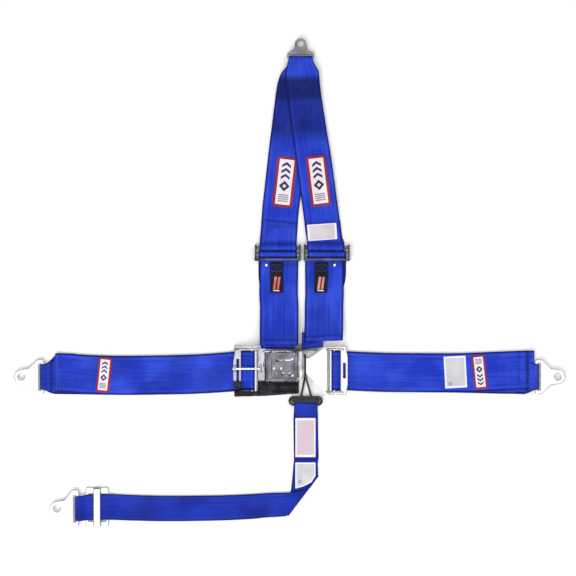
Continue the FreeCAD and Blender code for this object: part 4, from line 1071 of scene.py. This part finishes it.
def painted_reflection_metal(name, axis, start, end, before, after, rough_before, rough_after, lines=None, depth=0.84):
    """Metal whose colour and roughness change along one axis, from start to end in metres; the change of
    colour is a painted reflection, dark on the latch plate and bright on the lever's lip. lines is the pitch
    of its fine ribs in metres, and depth the shade of its darkest clouds."""
    paint = Paint(name, before, rough_before, 1.0)
    place = paint.place()
    x, y, z = paint.parts(place)
    along = {"x": x, "y": y, "z": z}[axis]
    amount = paint.between(along, start, end)
    clouds = paint.noise(place, 45, 3)
    marks = paint.noise(place, 380, 4, stretch=(1, 8, 1))
    tone = paint.between(clouds, 0.35, 0.68, depth, 1.12)
    color = paint.mix(amount, before, after)
    grey = paint.node("ShaderNodeCombineXYZ")
    for socket in grey.inputs:
        paint.feed(socket, tone)
    color = paint.mix(1.0, color, grey.outputs[0], "MULTIPLY")
    if lines:
        wave = paint.math("SINE", paint.times(paint.math("DIVIDE", y, lines), 2 * math.pi))
        ribs = paint.times(paint.plus(wave, 1.0), paint.times(amount, 0.3))
        color = paint.mix(ribs, color, (0.002, 0.002, 0.003))
    # Painted shade: dark lines along the edges stand for the dark reflection in them.
    color = paint.painted_edge_shade(color, 0.0018, (0.035, 0.035, 0.040))
    paint.link("Base Color", color)
    rough = paint.plus(paint.between(marks, 0.3, 0.7, -0.03, 0.06),
                       paint.between(along, start, end, rough_before, rough_after))
    paint.link("Roughness", rough)
    paint.soften(0.0018)
    paint.bump(clouds, 0.7, 0.006)
    paint.bump(marks, 0.05, 0.0001)
    if lines:
        paint.bump(paint.times(wave, amount), 0.5, 0.0003)
    return paint.material


# The rim colours are painted shade along the plates' edges.
CHROME = metal("chrome_plate", (0.86, 0.86, 0.89), (0.74, 0.75, 0.80), 0.12, (1, 6, 1), edge=0.0024,
               rim=(0.08, 0.08, 0.09))
NICKEL = metal("nickel_plate", (0.97, 0.97, 0.98), (0.90, 0.90, 0.92), 0.12, (6, 1, 1), edge=0.0034,
               rim=(0.045, 0.045, 0.050))
STEEL = metal("grey_steel", (0.33, 0.31, 0.34), (0.20, 0.19, 0.215), 0.26, (1, 9, 1),
              rim=(0.03, 0.03, 0.035))
DARK = metal("dark_steel", (0.07, 0.07, 0.08), (0.16, 0.16, 0.18), 0.22, (4, 4, 4))
ZINC = metal("zinc_frame", (0.17, 0.17, 0.19), (0.05, 0.05, 0.06), 0.20, (7, 1, 1),
             rim=(0.012, 0.012, 0.016))
INKY = metal("black_wire", (0.003, 0.003, 0.004), (0.008, 0.008, 0.010), 0.34, (3, 3, 3), metallic=0.0)
BRIGHT = metal("bright_rivet", (0.95, 0.95, 0.97), (0.88, 0.88, 0.90), 0.14, (1, 1, 1))
# Painted reflection: the latch plate turns from light grey to near black towards -Y, for the dark reflection
# on its lower part.
BASE = painted_reflection_metal("latch_plate", "y", -0.1850, -0.1895, (0.62, 0.61, 0.65), (0.030, 0.030, 0.036), 0.13, 0.18,
                lines=0.0021)
# Painted highlight: the lever turns from dark grey to white beyond x 14 mm, for the bright reflection on its
# curled finger lip.
LEVER = painted_reflection_metal("lever_plate", "x", 0.0140, 0.0152, (0.27, 0.26, 0.31), (0.97, 0.97, 0.98), 0.13, 0.08,
                 depth=0.55)

FINISHES = (
    (NICKEL, ("lap_anchor_left", "lap_anchor_right", "sub_anchor", "lap_slide_bar_left",
              "lap_slide_bar_right", "link_plate", "sub_adjuster")),
    (CHROME, ("latch_cross_bar", "adjuster_rod", "lever_hinge_pin", "link_cross_bar")),
    (STEEL, ("shoulder_anchor", "adjuster_slide_bar_left", "adjuster_slide_bar_right")),
    (ZINC, ("adjuster_frame_left", "adjuster_frame_right")),
    (DARK, ("shoulder_tip_left", "shoulder_tip_right")),
    (BRIGHT, ("adjuster_rivets", "latch_rivets")),
    (INKY, ("crotch_loop",)),
    (BASE, ("latch_base",)),
    (LEVER, ("latch_lever",)),
)
# The black fill inside the crotch loop is a painted shadow.
finish_soft(crotch_shadow_fill(), "latch", None)
for finish, nodes in FINISHES:
    for node in nodes:
        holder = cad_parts[node]
        if not holder.material_slots:
            holder.data.materials.append(finish)
        for slot in holder.material_slots:
            slot.material = finish

# ---- floor, light and camera ----

floor_mesh = bpy.data.meshes.new("floor")
far = 6
floor_mesh.from_pydata([(-far, -far, 0), (far, -far, 0), (far, far, 0), (-far, far, 0)], [], [(0, 1, 2, 3)])
floor = bpy.data.objects.new("floor", floor_mesh)
bpy.context.scene.collection.objects.link(floor)
floor_paint = Paint("floor_white", (0.93, 0.93, 0.93), 0.9)
floor_paint.link("Roughness", floor_paint.noise(floor_paint.place(), 3, 1))
floor_mesh.materials.append(floor_paint.material)


def soft_light(name, spot, size, power):
    """A square lamp that looks at the origin."""
    lamp = bpy.data.lights.new(name, "AREA")
    lamp.shape = "SQUARE"
    lamp.size = size
    lamp.energy = power
    item = bpy.data.objects.new(name, lamp)
    item.location = spot
    item.rotation_euler = (-Vector(spot)).to_track_quat("-Z", "Y").to_euler()
    bpy.context.scene.collection.objects.link(item)


soft_light("key", (-1.3, -2.6, 2.1), 2.6, 84)
soft_light("fill", (2.8, 1.6, 1.7), 1.8, 26)

world = bpy.data.worlds.new("studio")
world.use_nodes = True
bpy.context.scene.world = world
nodes = world.node_tree.nodes
links = world.node_tree.links
sky = nodes["Background"]
direction = nodes.new("ShaderNodeTexCoord")
split = nodes.new("ShaderNodeSeparateXYZ")
sky_ramp = nodes.new("ShaderNodeValToRGB")
stops = sky_ramp.color_ramp.elements
stops[0].position = 0.02
stops[0].color = (0.05, 0.05, 0.06, 1)
stops[1].position = 0.95
stops[1].color = (1.0, 1.0, 1.0, 1)
middle_stop = stops.new(0.5)
middle_stop.color = (0.50, 0.50, 0.52, 1)
links.new(direction.outputs["Generated"], split.inputs[0])
links.new(split.outputs["Z"], sky_ramp.inputs["Fac"])
links.new(sky_ramp.outputs["Color"], sky.inputs["Color"])
sky.inputs["Strength"].default_value = 1.12

# The camera looks straight down and sees FRAME_WIDTH metres across at the mean height of the belts.
LENS = 100.0
SENSOR = 36.0
FRAME_WIDTH = 1.1059
VIEW_X = -0.0029
VIEW_Y = -0.0096
BELT_HEIGHT = 0.005
camera_data = bpy.data.cameras.new("camera")
camera_data.lens = LENS
camera_data.sensor_width = SENSOR
camera_data.dof.use_dof = False
camera = bpy.data.objects.new("camera", camera_data)
camera.location = (VIEW_X, VIEW_Y, FRAME_WIDTH * LENS / SENSOR + BELT_HEIGHT)
bpy.context.scene.collection.objects.link(camera)
bpy.context.scene.camera = camera
bpy.context.scene.view_settings.view_transform = "Standard"
bpy.context.scene.view_settings.look = "None"
